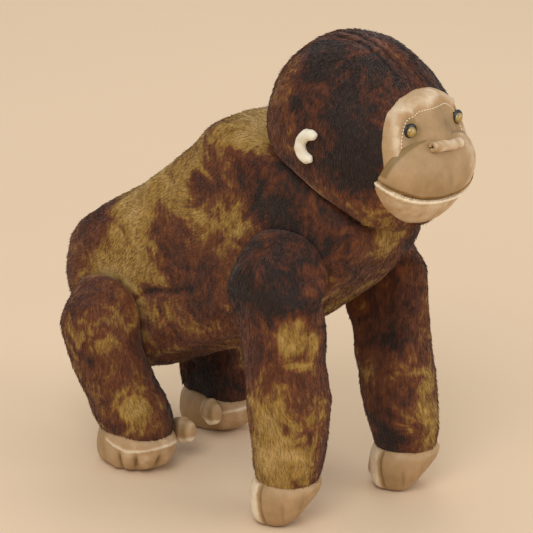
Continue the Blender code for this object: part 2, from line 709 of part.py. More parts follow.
def hang(label, place, pieces):
    """Hangs a moving body's pieces, and their own cutters, from an empty on its joint's axis."""
    axis = bpy.data.objects.new(label + "_axis", None)
    axis.empty_display_size = 0.02
    bpy.context.scene.collection.objects.link(axis)
    axis.location = place
    for obj in bpy.data.objects:
        if obj.name.startswith(pieces):
            obj.parent = axis
            obj.location -= place


def centre_on_origin():
    """Moves everything along X so that the object stands with its middle over the origin."""
    bpy.context.view_layer.update()
    ends = []
    for obj in bpy.data.objects:
        if obj.type == "MESH" and not obj.hide_render:
            ends += [(obj.matrix_world @ v.co).x for v in obj.data.vertices]
    for obj in bpy.data.objects:
        if obj.parent is None:
            obj.location.x -= (min(ends) + max(ends)) / 2


torso_left, torso_right, torso_belly, torso_core = build_torso()
head, head_left, head_right, head_crown, head_core = build_head([torso_left, torso_right, torso_belly],
                                                       torso_core)
for side_name, side, torso_skin in (("left", 1, torso_left), ("right", -1, torso_right)):
    build_limb("arm", side_name, side, arm_form(side), SHOULDER, torso_skin, torso_core)
    build_limb("leg", side_name, side, leg_form(side), HIP, torso_skin, torso_core)
    build_hand(side_name, side)
    build_foot(side_name, side)
build_face(head, [head_left, head_right], head_core)
hang("neck", NECK, ("head", "brow", "muzzle", "chin", "nose", "eye", "ear", "face"))
for side_name, side in (("left", 1), ("right", -1)):
    out = LEFT * JOINT_PLANE * side
    hang("shoulder_" + side_name, SHOULDER + out, tuple(n + side_name for n in ("arm_", "hand_", "thumb_")))
    hang("hip_" + side_name, HIP + out, tuple(n + side_name for n in ("leg_", "foot_", "big_toe_")))
centre_on_origin()
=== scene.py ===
"""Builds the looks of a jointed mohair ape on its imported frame: stuffed plush pads with their pile,
a felt face with glass eyes, rolled ears, felt hands and feet, the joints' hardware and the stage."""

import json
import math

import bmesh
import bpy
import numpy as np
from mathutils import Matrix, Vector, noise
from mathutils.bvhtree import BVHTree


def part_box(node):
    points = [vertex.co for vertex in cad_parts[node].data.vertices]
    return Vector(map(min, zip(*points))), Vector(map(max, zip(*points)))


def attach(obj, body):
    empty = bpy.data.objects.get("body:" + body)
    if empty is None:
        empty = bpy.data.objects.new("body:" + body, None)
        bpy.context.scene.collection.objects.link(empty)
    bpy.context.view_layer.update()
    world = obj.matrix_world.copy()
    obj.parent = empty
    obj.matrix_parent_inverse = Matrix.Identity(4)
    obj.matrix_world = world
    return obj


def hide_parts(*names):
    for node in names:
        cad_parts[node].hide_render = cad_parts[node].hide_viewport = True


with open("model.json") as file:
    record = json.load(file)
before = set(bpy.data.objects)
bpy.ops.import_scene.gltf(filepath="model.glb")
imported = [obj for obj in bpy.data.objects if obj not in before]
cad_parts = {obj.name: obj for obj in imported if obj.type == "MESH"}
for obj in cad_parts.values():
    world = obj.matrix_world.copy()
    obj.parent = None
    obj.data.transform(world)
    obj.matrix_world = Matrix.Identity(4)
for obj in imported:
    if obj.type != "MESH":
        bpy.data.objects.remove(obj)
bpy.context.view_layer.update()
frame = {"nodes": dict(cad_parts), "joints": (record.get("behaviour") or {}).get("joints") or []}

bl_info = {
    "name": "Jointed Mohair Ape",
    "version": (1, 0, 0),
    "blender": (4, 5, 0),
    "location": "View3D > Sidebar > Ape",
    "description": "Stuffed plush ape with a felt face, built on its jointed frame",
    "category": "Object",
}

SIDES = (("left", 1), ("right", -1))
JOINTS = {joint["name"]: joint for joint in frame["joints"]}
NECK = Vector(JOINTS["neck"]["pos_m"])
NECK_UP = Vector(JOINTS["neck"]["axis"]).normalized()
NECK_FORWARD = Vector((NECK_UP.z, 0, -NECK_UP.x))
LEFT = Vector((0, 1, 0))
MM = 0.001
CLOTH_FRAMES = 20
# Metres: radius of the flats where bodies meet, and how softly they end.
NECK_FLAT, LIMB_FLAT, FLAT_EDGE = 0.046, 0.036, 0.008
CROWN_SEAMS = (-12.0, -5.0, 12.0)  # mm left of the middle
AIM = Vector((0.003, 0, 0.152))  # the camera's aim, metres

# How light the pile is, from 0, nearly black, to 1, gold: x, y, z in mm on the right side, and the shade.
TORSO_SHADES = [
    (0, -10, 260, 0.9), (10, -30, 255, 0.9), (-25, -35, 245, 0.6), (-5, -35, 220, 0.4),
    (20, -35, 230, 0.3), (-60, -35, 215, 0.8), (-90, -35, 195, 0.9), (-130, -35, 160, 0.3),
    (-150, -35, 135, 0.5), (-110, -35, 135, 0.8), (-80, -35, 145, 0.8), (-50, -35, 160, 0.3),
    (-25, -35, 140, 0.3), (-65, -35, 120, 0.5), (-45, -35, 100, 0.5), (-25, -35, 100, 0.5),
    (80, -10, 150, 0.6), (110, -30, 185, 0.3), (115, -5, 195, 0.7), (110, -35, 195, 0.2),
    (5, -35, 195, 0.6), (50, -35, 205, 0.1), (60, -20, 240, 0.1), (-60, 0, 90, 0.4),
]
HEAD_SHADES = [
    (85, -35, 315, 0.1), (110, -45, 285, 0.1), (75, -50, 290, 0.3), (65, -50, 295, 0.5),
    (60, -50, 265, 0.4), (85, -40, 225, 0.6), (115, -50, 255, 0.0), (75, -50, 240, 0.4), (95, -55, 260, 0.1),
    (125, -35, 215, 0.6), (115, -15, 315, 0.1), (110, 5, 315, 0.4), (130, 20, 295, 0.6), (125, -30, 295, 0.1),
    (60, 0, 300, 0.4), (40, 0, 270, 0.4),
]
# On the arms, the darkest marks on the inner side, y -20 to -30, are painted shade between arm and body.
ARM_SHADES = [
    (55, -65, 195, 0.3), (70, -70, 185, 0.1), (55, -75, 165, 0.1), (85, -70, 165, 0.1),
    (90, -65, 135, 0.7), (65, -75, 120, 0.4), (90, -65, 95, 0.5), (75, -75, 80, 0.6),
    (95, -60, 80, 0.6), (80, -70, 55, 0.9), (95, -60, 175, 0.4), (90, -30, 145, 0.2),
    (90, -25, 110, 0.2), (105, -30, 85, 0.5), (100, -20, 70, 0.4), (110, -40, 55, 0.6),
    (90, -20, 45, 0.1),
]
LEG_SHADES = [
    (-110, -70, 120, 0.3), (-90, -70, 100, 0.6), (-70, -55, 95, 0.4), (-110, -75, 100, 0.6),
    (-85, -70, 75, 0.3), (-65, -65, 55, 0.7), (-80, -70, 30, 0.4), (-125, -60, 60, 0.7),
    # painted shade: these two nearly black marks on the leg's inner side
    (-85, -20, 40, 0.0), (-70, -25, 60, 0.1),
]


# ---- Settings -----------------------------------------------------------------------------------
class ApePileSettings(bpy.types.PropertyGroup):
    """The mohair pile and its colours."""
    length: bpy.props.FloatProperty(
        name="Pile length", description="Length of a lock of pile", default=3.8 * MM, min=0.001, max=0.02,
        unit="LENGTH")
    width: bpy.props.FloatProperty(
        name="Lock width", description="Width of a lock at its root", default=0.9 * MM, min=0.0002,
        max=0.004, unit="LENGTH")
    gap: bpy.props.FloatProperty(
        name="Lock spacing", description="Least distance between two locks", default=0.95 * MM, min=0.0005,
        max=0.01, unit="LENGTH")
    lift: bpy.props.FloatProperty(
        name="Lift", description="How far the pile stands up, 0 flat to 1 upright", default=0.13, min=0,
        max=1)
    dark: bpy.props.StringProperty(name="Dark pile", description="sRGB hex colour", default="#26140A")
    umber: bpy.props.StringProperty(name="Umber pile", description="sRGB hex colour", default="#50250F")
    russet: bpy.props.StringProperty(name="Russet pile", description="sRGB hex colour", default="#6E3C1A")
    gold: bpy.props.StringProperty(name="Gold pile", description="sRGB hex colour", default="#997632")
    pale: bpy.props.StringProperty(name="Pale pile", description="sRGB hex colour", default="#B8965A")


class ApeStuffingSettings(bpy.types.PropertyGroup):
    """How the pads are filled."""
    voxel: bpy.props.FloatProperty(
        name="Cloth grain", description="Voxel size of the pads' cloth", default=5 * MM, min=0.002,
        max=0.01, unit="LENGTH")
    pressure: bpy.props.FloatProperty(name="Pressure", description="Pressure of the stuffing", default=4.0)
    swell: bpy.props.FloatProperty(
        name="Swell", description="Furthest that the stuffing moves the cloth", default=5 * MM, min=0,
        max=0.02, unit="LENGTH")


class ApeFaceSettings(bpy.types.PropertyGroup):
    """The felt face, hands and feet."""
    felt: bpy.props.FloatProperty(
        name="Felt", description="Thickness of the face felt", default=1.4 * MM, min=0.0005, max=0.004,
        unit="LENGTH")
    ridge: bpy.props.FloatProperty(
        name="Brow ridge", description="Height of the padded brow ridge", default=2.9 * MM, min=0,
        max=0.006, unit="LENGTH")
    stitch: bpy.props.FloatProperty(
        name="Stitch", description="Length of one stitch", default=2.2 * MM, min=0.0005, max=0.006,
        unit="LENGTH")
    eye: bpy.props.FloatProperty(
        name="Eye", description="Radius of the amber glass", default=3.4 * MM, min=0.001, max=0.008,
        unit="LENGTH")
    tan: bpy.props.StringProperty(name="Tan felt", description="sRGB hex colour", default="#83693F")
    worn: bpy.props.StringProperty(name="Worn felt", description="sRGB hex colour", default="#B2916A")
    cream: bpy.props.StringProperty(name="Cream felt", description="sRGB hex colour", default="#E4DCC8")


class ApeStageSettings(bpy.types.PropertyGroup):
    """The camera and the pale stage."""
    azimuth: bpy.props.FloatProperty(
        name="Azimuth", description="Round from the right side, in degrees", default=42.5)
    elevation: bpy.props.FloatProperty(
        name="Elevation", description="Above the horizon, in degrees", default=17.5)
    distance: bpy.props.FloatProperty(
        name="Distance", description="Camera to object", default=1.6, unit="LENGTH")
    lens: bpy.props.FloatProperty(name="Lens", description="Focal length in mm", default=159.2)
    ground: bpy.props.StringProperty(name="Ground", description="sRGB hex colour", default="#E1C8AA")


# ---- Small helpers ------------------------------------------------------------------------------
def linear(code):
    """An sRGB hex colour as linear RGBA."""
    parts = [int(code[i:i + 2], 16) / 255 for i in (1, 3, 5)]
    return tuple(c / 12.92 if c <= 0.04045 else ((c + 0.055) / 1.055) ** 2.4 for c in parts) + (1.0,)


def feed(node, inputs):
    """Gives a node's inputs, by name or number, their values or links. A node stands for its first output."""
    for name, value in inputs.items():
        if isinstance(name, int):
            socket = node.inputs[name]
        else:
            socket = next(s for s in node.inputs if s.name == name and s.enabled)
        if isinstance(value, bpy.types.Node):
            value = next(s for s in value.outputs if s.enabled)
        if isinstance(value, bpy.types.NodeSocket):
            node.id_data.links.new(value, socket)
        else:
            socket.default_value = value


def add(tree, kind, inputs=None, stops=(), **settings):
    """Adds a node with its settings, its input values or links, and the (place, hex) stops of a ramp."""
    made = tree.nodes.new(kind)
    for name, value in settings.items():
        setattr(made, name, value)
    feed(made, inputs or {})
    for _ in stops[2:]:
        made.color_ramp.elements.new(0.5)
    for k, (place, code) in enumerate(stops):
        made.color_ramp.elements[k].position = place
        made.color_ramp.elements[k].color = linear(code)
    return made


def smooth_step(values, low, high):
    t = np.clip((values - low) / (high - low), 0, 1)
    return t * t * (3 - 2 * t)


def rounded(a, b, power):
    """How far out a place is in a rounded oval, 1 on its edge."""
    return (abs(a) ** power + abs(b) ** power) ** (1 / power)


def read(items, field, width, kind):
    flat = np.empty(len(items) * width, kind)
    items.foreach_get(field, flat)
    return flat.reshape(-1, width)


def points_of(mesh):
    return read(mesh.vertices, "co", 3, np.float32).astype(float)


def normals_of(mesh):
    return read(mesh.vertex_normals, "vector", 3, np.float32).astype(float)


def edges_of(mesh):
    return read(mesh.edges, "vertices", 2, np.int32)


def set_points(mesh, points):
    mesh.vertices.foreach_set("co", points.astype(np.float32).ravel())
    mesh.update()


def ripple(points, scale, seed):
    """Smooth noise from -1 to 1 at each point, with lumps about scale metres across."""
    shift = Vector((seed * 7.31, seed * 3.17, seed * 5.71))
    return np.array([noise.noise(Vector(p) / scale + shift) for p in points])


def relax(points, edges, times):
    """Moves each point towards the middle of its neighbours."""
    count = np.bincount(edges.ravel(), minlength=len(points))[:, None]
    for _ in range(times):
        total = np.zeros_like(points)
        np.add.at(total, edges[:, 0], points[edges[:, 1]])
        np.add.at(total, edges[:, 1], points[edges[:, 0]])
        points = points + 0.5 * (total / np.maximum(count, 1) - points)
    return points


def dress(obj, finish):
    """Gives an object one finish."""
    obj.data.materials.clear()
    obj.data.materials.append(finish)


def place_object(name, mesh, finish=None):
    made = bpy.data.objects.new(name, mesh)
    bpy.context.scene.collection.objects.link(made)
    if finish is not None:
        dress(made, finish)
    for face in mesh.polygons:
        face.use_smooth = True
    return made


def turns(count):
    """Angles evenly round a circle."""
    return [2 * math.pi * k / count for k in range(count)]


def ring_faces(rings, around):
    """Faces between each ring of points and the next."""
    faces = []
    for ring in range(rings - 1):
        for k in range(around):
            a, b = ring * around + k, ring * around + (k + 1) % around
            faces.append((a, b, b + around, a + around))
    return faces


def tip_faces(start, around, tip):
    """Faces that close a ring on one point."""
    return [(start + k, start + (k + 1) % around, tip) for k in range(around)]


def turn_out(mesh, weld=0.0):
    """Turns every face outwards, once points within the weld distance are joined."""
    shell = bmesh.new()
    shell.from_mesh(mesh)
    if weld:
        bmesh.ops.remove_doubles(shell, verts=shell.verts, dist=weld)
    bmesh.ops.recalc_face_normals(shell, faces=shell.faces)
    shell.to_mesh(mesh)
    shell.free()


def from_arrays(name, points, faces, finish=None):
    mesh = bpy.data.meshes.new(name)
    mesh.from_pydata([tuple(p) for p in points], [], faces)
    turn_out(mesh)
    return place_object(name, mesh, finish)


def settle(obj):
    """Bakes an object's modifiers into a plain mesh."""
    graph = bpy.context.evaluated_depsgraph_get()
    graph.update()
    mesh = bpy.data.meshes.new_from_object(obj.evaluated_get(graph), preserve_all_data_layers=True,
                                           depsgraph=graph)
    obj.modifiers.clear()
    old = obj.data
    obj.data = mesh
    bpy.data.meshes.remove(old)
    mesh.name = obj.name
    return obj


def subdivide(obj):
    modifier = obj.modifiers.new("Rounding", "SUBSURF")
    modifier.levels = modifier.render_levels = 1
    return settle(obj)


def keep_outside(mesh):
    """Drops every shell but the outer one, which has the most points."""
    shell = bmesh.new()
    shell.from_mesh(mesh)
    left, best = set(shell.verts), []
    while left:
        island, front = [], [left.pop()]
        while front:
            vert = front.pop()
            island.append(vert)
            for edge in vert.link_edges:
                other = edge.other_vert(vert)
                if other in left:
                    left.discard(other)
                    front.append(other)
        if len(island) > len(best):
            best = island
    kept = set(best)
    bmesh.ops.delete(shell, geom=[v for v in shell.verts if v not in kept], context="VERTS")
    shell.to_mesh(mesh)
    shell.free()


def cloth_of(name, nodes, voxel, rounds):
    """One closed cloth over CAD nodes: their outer surface, evenly meshed and smoothed."""
    shell = bmesh.new()
    for node_name in nodes:
        shell.from_mesh(frame["nodes"][node_name].data)
    bmesh.ops.remove_doubles(shell, verts=shell.verts, dist=1e-6)
    mesh = bpy.data.meshes.new(name)
    shell.to_mesh(mesh)
    shell.free()
    cloth = place_object(name, mesh)
    modifier = cloth.modifiers.new("Even cloth", "REMESH")
    modifier.mode = "VOXEL"
    modifier.voxel_size = voxel
    settle(cloth)
    keep_outside(cloth.data)
    points = points_of(cloth.data)
    set_points(cloth.data, relax(points, edges_of(cloth.data), rounds))
    return cloth


def stuff(cloth, reach):
    """Presses the cloth out from inside as stuffing does, no point further than its reach."""
    scene = bpy.context.scene
    before = points_of(cloth.data)
    modifier = cloth.modifiers.new("Stuffing", "CLOTH")
    modifier.settings.use_pressure = True
    modifier.settings.uniform_pressure_force = scene.ape_stuffing.pressure
    modifier.settings.effector_weights.gravity = 0
    modifier.settings.quality = 4
    for step in range(1, CLOTH_FRAMES + 1):
        scene.frame_set(step)
    graph = bpy.context.evaluated_depsgraph_get()
    after = points_of(cloth.evaluated_get(graph).to_mesh())
    cloth.evaluated_get(graph).to_mesh_clear()
    cloth.modifiers.clear()
    scene.frame_set(1)
    move = after - before
    share = np.minimum(1, reach / np.maximum(np.linalg.norm(move, axis=1), 1e-9))
    set_points(cloth.data, before + move * share[:, None])


def pull(points, moves):
    """Moves points near each centre: centre and move in mm, radius in mm."""
    moved = points.copy()
    for centre, radius, move in moves:
        far = np.linalg.norm(points - np.array(centre) * MM, axis=1) / (radius * MM)
        moved += np.exp(-far * far)[:, None] * np.array(move) * MM
    return moved


def fold_depth(points, path, width):
    """How near each point is to a fold's path, 1 on it, seen from the side; all in mm."""
    flat = points[:, (0, 2)] / MM
    nearest = np.full(len(flat), 1e9)
    for a, b in zip(path[:-1], path[1:]):
        a, b = np.array(a, float), np.array(b, float)
        t = np.clip((flat - a) @ (b - a) / ((b - a) @ (b - a)), 0, 1)
        nearest = np.minimum(nearest, np.linalg.norm(flat - a - t[:, None] * (b - a), axis=1))
    return np.exp(-(nearest / width) ** 2)


def shade_of(points, marks, side=0):
    """The shade at each point, blended between the marks; side mirrors them to the left."""
    places = np.array([m[:3] for m in marks], float) * MM
    shades = np.array([m[3] for m in marks])
    where = points.copy()
    if side >= 0:
        where[:, 1] = -np.abs(where[:, 1]) if side == 0 else -where[:, 1]
    gap = np.linalg.norm(where[:, None, :] - places[None], axis=2)
    weight = 1 / (gap ** 2 + (6 * MM) ** 2) ** 1.6
    return (weight * shades).sum(1) / weight.sum(1)


def set_value(mesh, name, values, kind="FLOAT"):
    attribute = mesh.attributes.get(name) or mesh.attributes.new(name, kind, "POINT")
    field = "vector" if kind == "FLOAT_VECTOR" else "value"
    attribute.data.foreach_set(field, np.asarray(values, np.float32).ravel())


def comb(mesh, direction, swirl, seed):
    """Lays the pile along the surface near a direction, turned a little from place to place."""
    points, normals = points_of(mesh), normals_of(mesh)
    way = np.tile(np.array(direction, float), (len(points), 1))
    turn = ripple(points, 0.035, seed) * swirl
    way = way + np.cross(normals, way) * turn[:, None]
    way -= normals * (way * normals).sum(1)[:, None]
    way /= np.maximum(np.linalg.norm(way, axis=1), 1e-6)[:, None]
    set_value(mesh, "comb", way, "FLOAT_VECTOR")
    set_value(mesh, "out", normals, "FLOAT_VECTOR")


# ---- Materials ----------------------------------------------------------------------------------
# A noise scale counts lumps in a metre: 1000 draws them 1 mm across.
def new_material(name):
    """A material, its tree, its shader and the place on the object in metres."""
    made = bpy.data.materials.new(name)
    made.use_nodes = True
    tree = made.node_tree
    return made, tree, tree.nodes["Principled BSDF"], add(tree, "ShaderNodeTexCoord").outputs["Object"]


def mohair():
    """Mohair pile woven into a cotton backing: matt, with a soft sheen where the locks turn, dyed in
    drifts from nearly black to old gold; its shade also holds painted shade in folds, crown seams and the
    limbs' inner sides."""
    pile = bpy.context.scene.ape_pile
    made, tree, shader, place = new_material("mohair_pile")
    shade = add(tree, "ShaderNodeAttribute", attribute_name="shade").outputs["Fac"]
    # dye drifts are about 21 mm across, locks about 2.5 mm by 8 mm
    drift = add(tree, "ShaderNodeTexNoise", {
        "Vector": place, "Scale": 48.0, "Detail": 5.0, "Roughness": 0.6, "Distortion": 1.2})
    tall = add(tree, "ShaderNodeMapping", {"Vector": place, "Scale": (1.0, 1.0, 0.3)})
    lock = add(tree, "ShaderNodeTexNoise", {"Vector": tall, "Scale": 400.0, "Detail": 2.0})
    near = add(tree, "ShaderNodeMath", {0: drift, 1: 1.2, 2: -0.6}, operation="MULTIPLY_ADD")
    fine = add(tree, "ShaderNodeMath", {0: lock, 1: 0.5, 2: -0.25}, operation="MULTIPLY_ADD")
    total = add(tree, "ShaderNodeMath", {0: shade, 1: near}, operation="ADD")
    total = add(tree, "ShaderNodeMath", {0: total, 1: fine}, operation="ADD")
    colour = add(tree, "ShaderNodeValToRGB", {"Fac": total}, [
        (0.12, pile.dark), (0.30, pile.umber), (0.50, pile.russet), (0.68, pile.gold), (0.98, pile.pale)])
    # hairs 1.1 mm across, drawn coarser than real mohair of 0.04 mm
    grain = add(tree, "ShaderNodeTexNoise", {"Vector": tall, "Scale": 900.0, "Detail": 2.0})
    bump = add(tree, "ShaderNodeBump", {"Height": grain, "Strength": 0.5, "Distance": 0.6 * MM})
    feed(shader, {"Base Color": colour, "Normal": bump, "Roughness": 0.72, "Specular IOR Level": 0.3,
                  "Sheen Weight": 0.12, "Sheen Roughness": 0.5})
    return made


def felt(name, base, worn, rubbed_and_highlit, rough=0.5, fibre=900.0, depth=0.3):
    """Pressed wool felt, worn a little smooth: lighter where it is rubbed and where its tone paints a
    highlight, darker where its tone paints shade, with fibres of about 1 mm, drawn coarser than real wool of
    0.02 mm."""
    made, tree, shader, place = new_material(name)
    tone = add(tree, "ShaderNodeAttribute", attribute_name="tone").outputs["Fac"]
    # clouds of wear about 11 mm across
    cloud = add(tree, "ShaderNodeTexNoise", {"Vector": place, "Scale": 90.0, "Detail": 4.0, "Roughness": 0.6})
    mixed = add(tree, "ShaderNodeMath", {0: cloud, 1: 0.7, 2: -0.1}, operation="MULTIPLY_ADD")
    mixed = add(tree, "ShaderNodeMath", {0: mixed, 1: tone}, operation="ADD")
    colour = add(tree, "ShaderNodeValToRGB", {"Fac": mixed}, [(0.05, base), (0.6, worn), (1.0, rubbed_and_highlit)])
    hair = add(tree, "ShaderNodeTexNoise", {"Vector": place, "Scale": fibre, "Detail": 3.0})
    bump = add(tree, "ShaderNodeBump", {"Height": hair, "Strength": depth, "Distance": 0.4 * MM})
    feed(shader, {"Base Color": colour, "Normal": bump, "Roughness": rough, "Specular IOR Level": 0.4})
    return made


def hard(name, scale, stops, surface, detail=2.0):
    """A smooth material whose colour drifts between its stops."""
    made, tree, shader, place = new_material(name)
    cloud = add(tree, "ShaderNodeTexNoise", {"Vector": place, "Scale": scale, "Detail": detail})
    feed(shader, {"Base Color": add(tree, "ShaderNodeValToRGB", {"Fac": cloud}, stops), **surface})
    return made


FINISHES = {}


def finish_of(name):
    """Each finish is made once."""
    face = bpy.context.scene.ape_face
    makers = {
        "mohair": mohair,
        "tan_felt": lambda: felt("tan_wool_felt", face.tan, face.worn, "#E8D8BC"),
        # the same felt rubbed paler and pinker
        "worn_felt": lambda: felt("worn_wool_felt", "#9F7E5B", "#C6A080", "#E8D8BC"),
        # undyed wool, dull and coarse
        "cream_felt": lambda: felt("cream_wool_felt", "#BDB094", face.cream, "#F2ECDC", 0.6, 700.0, 0.5),
        # waxed thread: pale and a little shiny
        "thread": lambda: felt("waxed_linen_thread", "#D9C8A6", "#F2EBD8", "#FFFFFF", 0.35, 2500.0, 0.4),
        # cut edge of felt: short gold fibres that catch the light
        "fray": lambda: felt("frayed_gold_edge", "#6A4418", "#B98A3A", "#E0BC6A", 0.5, 2500.0, 0.4),
        # glass painted black behind: dark, with one dull highlight
        "black_glass": lambda: hard("black_glass", 600.0, [(0.3, "#040202"), (0.7, "#070403")], {
            "Roughness": 0.35, "Coat Weight": 0.15, "Coat Roughness": 0.03}),
        # blown glass painted behind: deep amber under a hard gloss
        "amber_glass": lambda: hard("amber_glass", 600.0, [(0.3, "#806A33"), (0.7, "#B8984A")], {
            "Roughness": 0.06, "Coat Weight": 1.0, "Coat Roughness": 0.03}),
        # millboard of the joint discs: dull brown with flecks under 1 mm
        "board": lambda: hard("pressed_board", 1200.0, [(0.35, "#6B5438"), (0.7, "#9A8260")],
                              {"Roughness": 0.85}, 3.0),
        # drawn wire and stamped washers: bright, with scratches 0.4 mm across, drawn coarser than real
        "wire": lambda: hard("drawn_steel", 2500.0, [(0.3, "#8F8F90"), (0.7, "#BDBDBE")],
                             {"Metallic": 1.0, "Roughness": 0.35}),
    }
    if name not in FINISHES:
        FINISHES[name] = makers[name]()
    return FINISHES[name]


# ---- Geometry Nodes: pile and stitches ----------------------------------------------------------
def new_tree(name, sockets):
    """A geometry tree with named inputs."""
    tree = bpy.data.node_groups.new(name, "GeometryNodeTree")
    sockets = [("Geometry", "NodeSocketGeometry"), *sockets, ("Finish", "NodeSocketMaterial")]
    for label, kind in sockets:
        tree.interface.new_socket(label, in_out="INPUT", socket_type=kind)
    tree.interface.new_socket("Geometry", in_out="OUTPUT", socket_type="NodeSocketGeometry")
    return tree, tree.nodes.new("NodeGroupInput").outputs


def close_tree(tree, given, copies):
    """Turns the copies into one mesh with the tree's finish."""
    whole = add(tree, "GeometryNodeRealizeInstances", {"Geometry": copies})
    dressed = add(tree, "GeometryNodeSetMaterial", {"Geometry": whole, "Material": given["Finish"]})
    add(tree, "NodeGroupOutput", {"Geometry": dressed})
    return tree


def run_tree(name, base, tree, finish, **values):
    """Runs a tree on a base object and returns the plain mesh that it makes."""
    maker = place_object(name, base.data.copy())
    modifier = maker.modifiers.new(tree.name, "NODES")
    modifier.node_group = tree
    values["Finish"] = finish
    for item in tree.interface.items_tree:
        if item.in_out == "INPUT" and item.name in values:
            modifier[item.identifier] = values[item.name]
    settle(maker)
    dress(maker, finish)
    return maker


def pile_tree():
    """Locks of pile scattered over a cloth, laid along its comb, shorter where it is worn."""
    tree, given = new_tree("Mohair pile", [
        ("Lock", "NodeSocketObject"), ("Gap", "NodeSocketFloat"), ("Lift", "NodeSocketFloat"),
        ("Seed", "NodeSocketInt")])
    seed = given["Seed"]
    cover = add(tree, "GeometryNodeInputNamedAttribute", {"Name": "cover"}, data_type="FLOAT")
    spots = add(tree, "GeometryNodeDistributePointsOnFaces", {
        "Mesh": given["Geometry"], "Distance Min": given["Gap"], "Density Max": 600000.0,
        "Density Factor": 1.0, "Seed": seed}, distribute_method="POISSON")
    way = add(tree, "GeometryNodeInputNamedAttribute", {"Name": "comb"}, data_type="FLOAT_VECTOR")
    out = add(tree, "GeometryNodeInputNamedAttribute", {"Name": "out"}, data_type="FLOAT_VECTOR")
    stray = add(tree, "FunctionNodeRandomValue", {
        "Min": (-0.2, -0.2, -0.2), "Max": (0.2, 0.2, 0.2), "Seed": seed}, data_type="FLOAT_VECTOR")
    lifted = add(tree, "ShaderNodeVectorMath", {0: out, "Scale": given["Lift"]}, operation="SCALE")
    laid = add(tree, "ShaderNodeVectorMath", {0: way, 1: lifted}, operation="ADD")
    laid = add(tree, "ShaderNodeVectorMath", {0: laid, 1: stray}, operation="ADD")
    turned = add(tree, "FunctionNodeAlignRotationToVector", {"Vector": laid}, axis="Z")
    size = add(tree, "FunctionNodeRandomValue", {"Min": 0.65, "Max": 1.15, "Seed": seed}, data_type="FLOAT")
    size = add(tree, "ShaderNodeMath", {0: size, 1: cover}, operation="MULTIPLY")
    grown = add(tree, "FunctionNodeCompare", {"A": cover, "B": 0.15}, data_type="FLOAT",
                operation="GREATER_THAN")
    lock = add(tree, "GeometryNodeObjectInfo", {"Object": given["Lock"]}).outputs["Geometry"]
    spread = add(tree, "GeometryNodeInstanceOnPoints", {
        "Points": spots, "Selection": grown, "Instance": lock, "Rotation": turned, "Scale": size})
    return close_tree(tree, given, spread)


def stitch_tree():
    """Stitches laid end to end along a path of edges."""
    tree, given = new_tree("Stitches", [("Stitch", "NodeSocketObject"), ("Pitch", "NodeSocketFloat")])
    path = add(tree, "GeometryNodeMeshToCurve", {"Mesh": given["Geometry"]})
    spots = add(tree, "GeometryNodeCurveToPoints", {"Curve": path, "Length": given["Pitch"]}, mode="LENGTH")
    stitch = add(tree, "GeometryNodeObjectInfo", {"Object": given["Stitch"]}).outputs["Geometry"]
    laid = add(tree, "GeometryNodeInstanceOnPoints", {
        "Points": spots, "Instance": stitch, "Rotation": spots.outputs["Rotation"]})
    return close_tree(tree, given, laid)


def lock_object(length, width):
    """One lock of pile: a spike with three sides that starts just under the cloth."""
    base = [Vector((math.cos(a) * width * 0.5, math.sin(a) * width * 0.32, -0.6 * MM))
            for a in (math.pi / 2, math.pi * 7 / 6, math.pi * 11 / 6)]
    points = base + [Vector((0, 0, length))]
    return from_arrays("lock", points, [(2, 1, 0), (0, 1, 3), (1, 2, 3), (2, 0, 3)])


def grow_pile(cloth, body, seed):
    """Covers a cloth with pile and returns it as one mesh."""
    pile = bpy.context.scene.ape_pile
    lock = lock_object(pile.length, pile.width)
    made = run_tree(cloth.name + "_pile", cloth, pile_tree(), finish_of("mohair"),
                    Lock=lock, Gap=pile.gap, Lift=pile.lift, Seed=seed)
    bpy.data.objects.remove(lock)
    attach(made, body)
    return made


def sew(name, path, body, length, radius, pitch, finish):
    """A row of stitches along a path of points."""
    sides, profile = 6, ((-0.5, 0.35), (-0.3, 0.95), (0.3, 0.95), (0.5, 0.35))
    points = [(radius * r * math.cos(a), radius * r * math.sin(a), x * length)
              for x, r in profile for a in turns(sides)]
    faces = ring_faces(4, sides) + [tuple(range(sides)), tuple(range(4 * sides - 1, 3 * sides - 1, -1))]
    stitch = from_arrays("stitch", points, faces)
    mesh = bpy.data.meshes.new(name)
    mesh.from_pydata([tuple(p) for p in path], [(k, k + 1) for k in range(len(path) - 1)], [])
    line = place_object(name + "_line", mesh)
    made = run_tree(name, line, stitch_tree(), finish_of(finish), Stitch=stitch, Pitch=pitch)
    bpy.data.objects.remove(line)
    bpy.data.objects.remove(stitch)
    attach(made, body)
    return made


# ---- Stuffed pads -------------------------------------------------------------------------------
def joint_gap(points, names):
    """0 on the flat sides where bodies meet at these joints, 1 away from them."""
    free = np.ones(len(points))
    for name in names:
        axis = np.array(JOINTS[name]["axis"])
        rel = points - np.array(JOINTS[name]["pos_m"])
        high = rel @ axis
        flat = np.linalg.norm(rel - high[:, None] * axis, axis=1)
        radius = NECK_FLAT if name == "neck" else LIMB_FLAT
        beside = smooth_step(flat, radius - FLAT_EDGE, radius + FLAT_EDGE)
        free = np.minimum(free, np.maximum(beside, smooth_step(np.abs(high), 0.006, 0.016)))
    return free


def crown_seams(points, normals, free, shade):
    """Sinks the seams over the crown, clear of the face, and darkens them with painted shade in their
    grooves.
    """
    y, up, ahead = face_coordinates(points)
    crown = smooth_step(points[:, 2], 0.262, 0.285) * free
    crown *= np.where(ahead > 0, smooth_step(face_outline(y, up), 1.0, 1.1), 1)
    for seam in CROWN_SEAMS:
        line = np.exp(-((points[:, 1] / MM - seam - 1.2 * ripple(points, 0.03, 6)) / 1.1) ** 2) * crown
        points = points - normals * (1.3 * MM * line)[:, None]
        # painted shade in the sunk seam
        shade = shade - 0.25 * line
    return points, shade


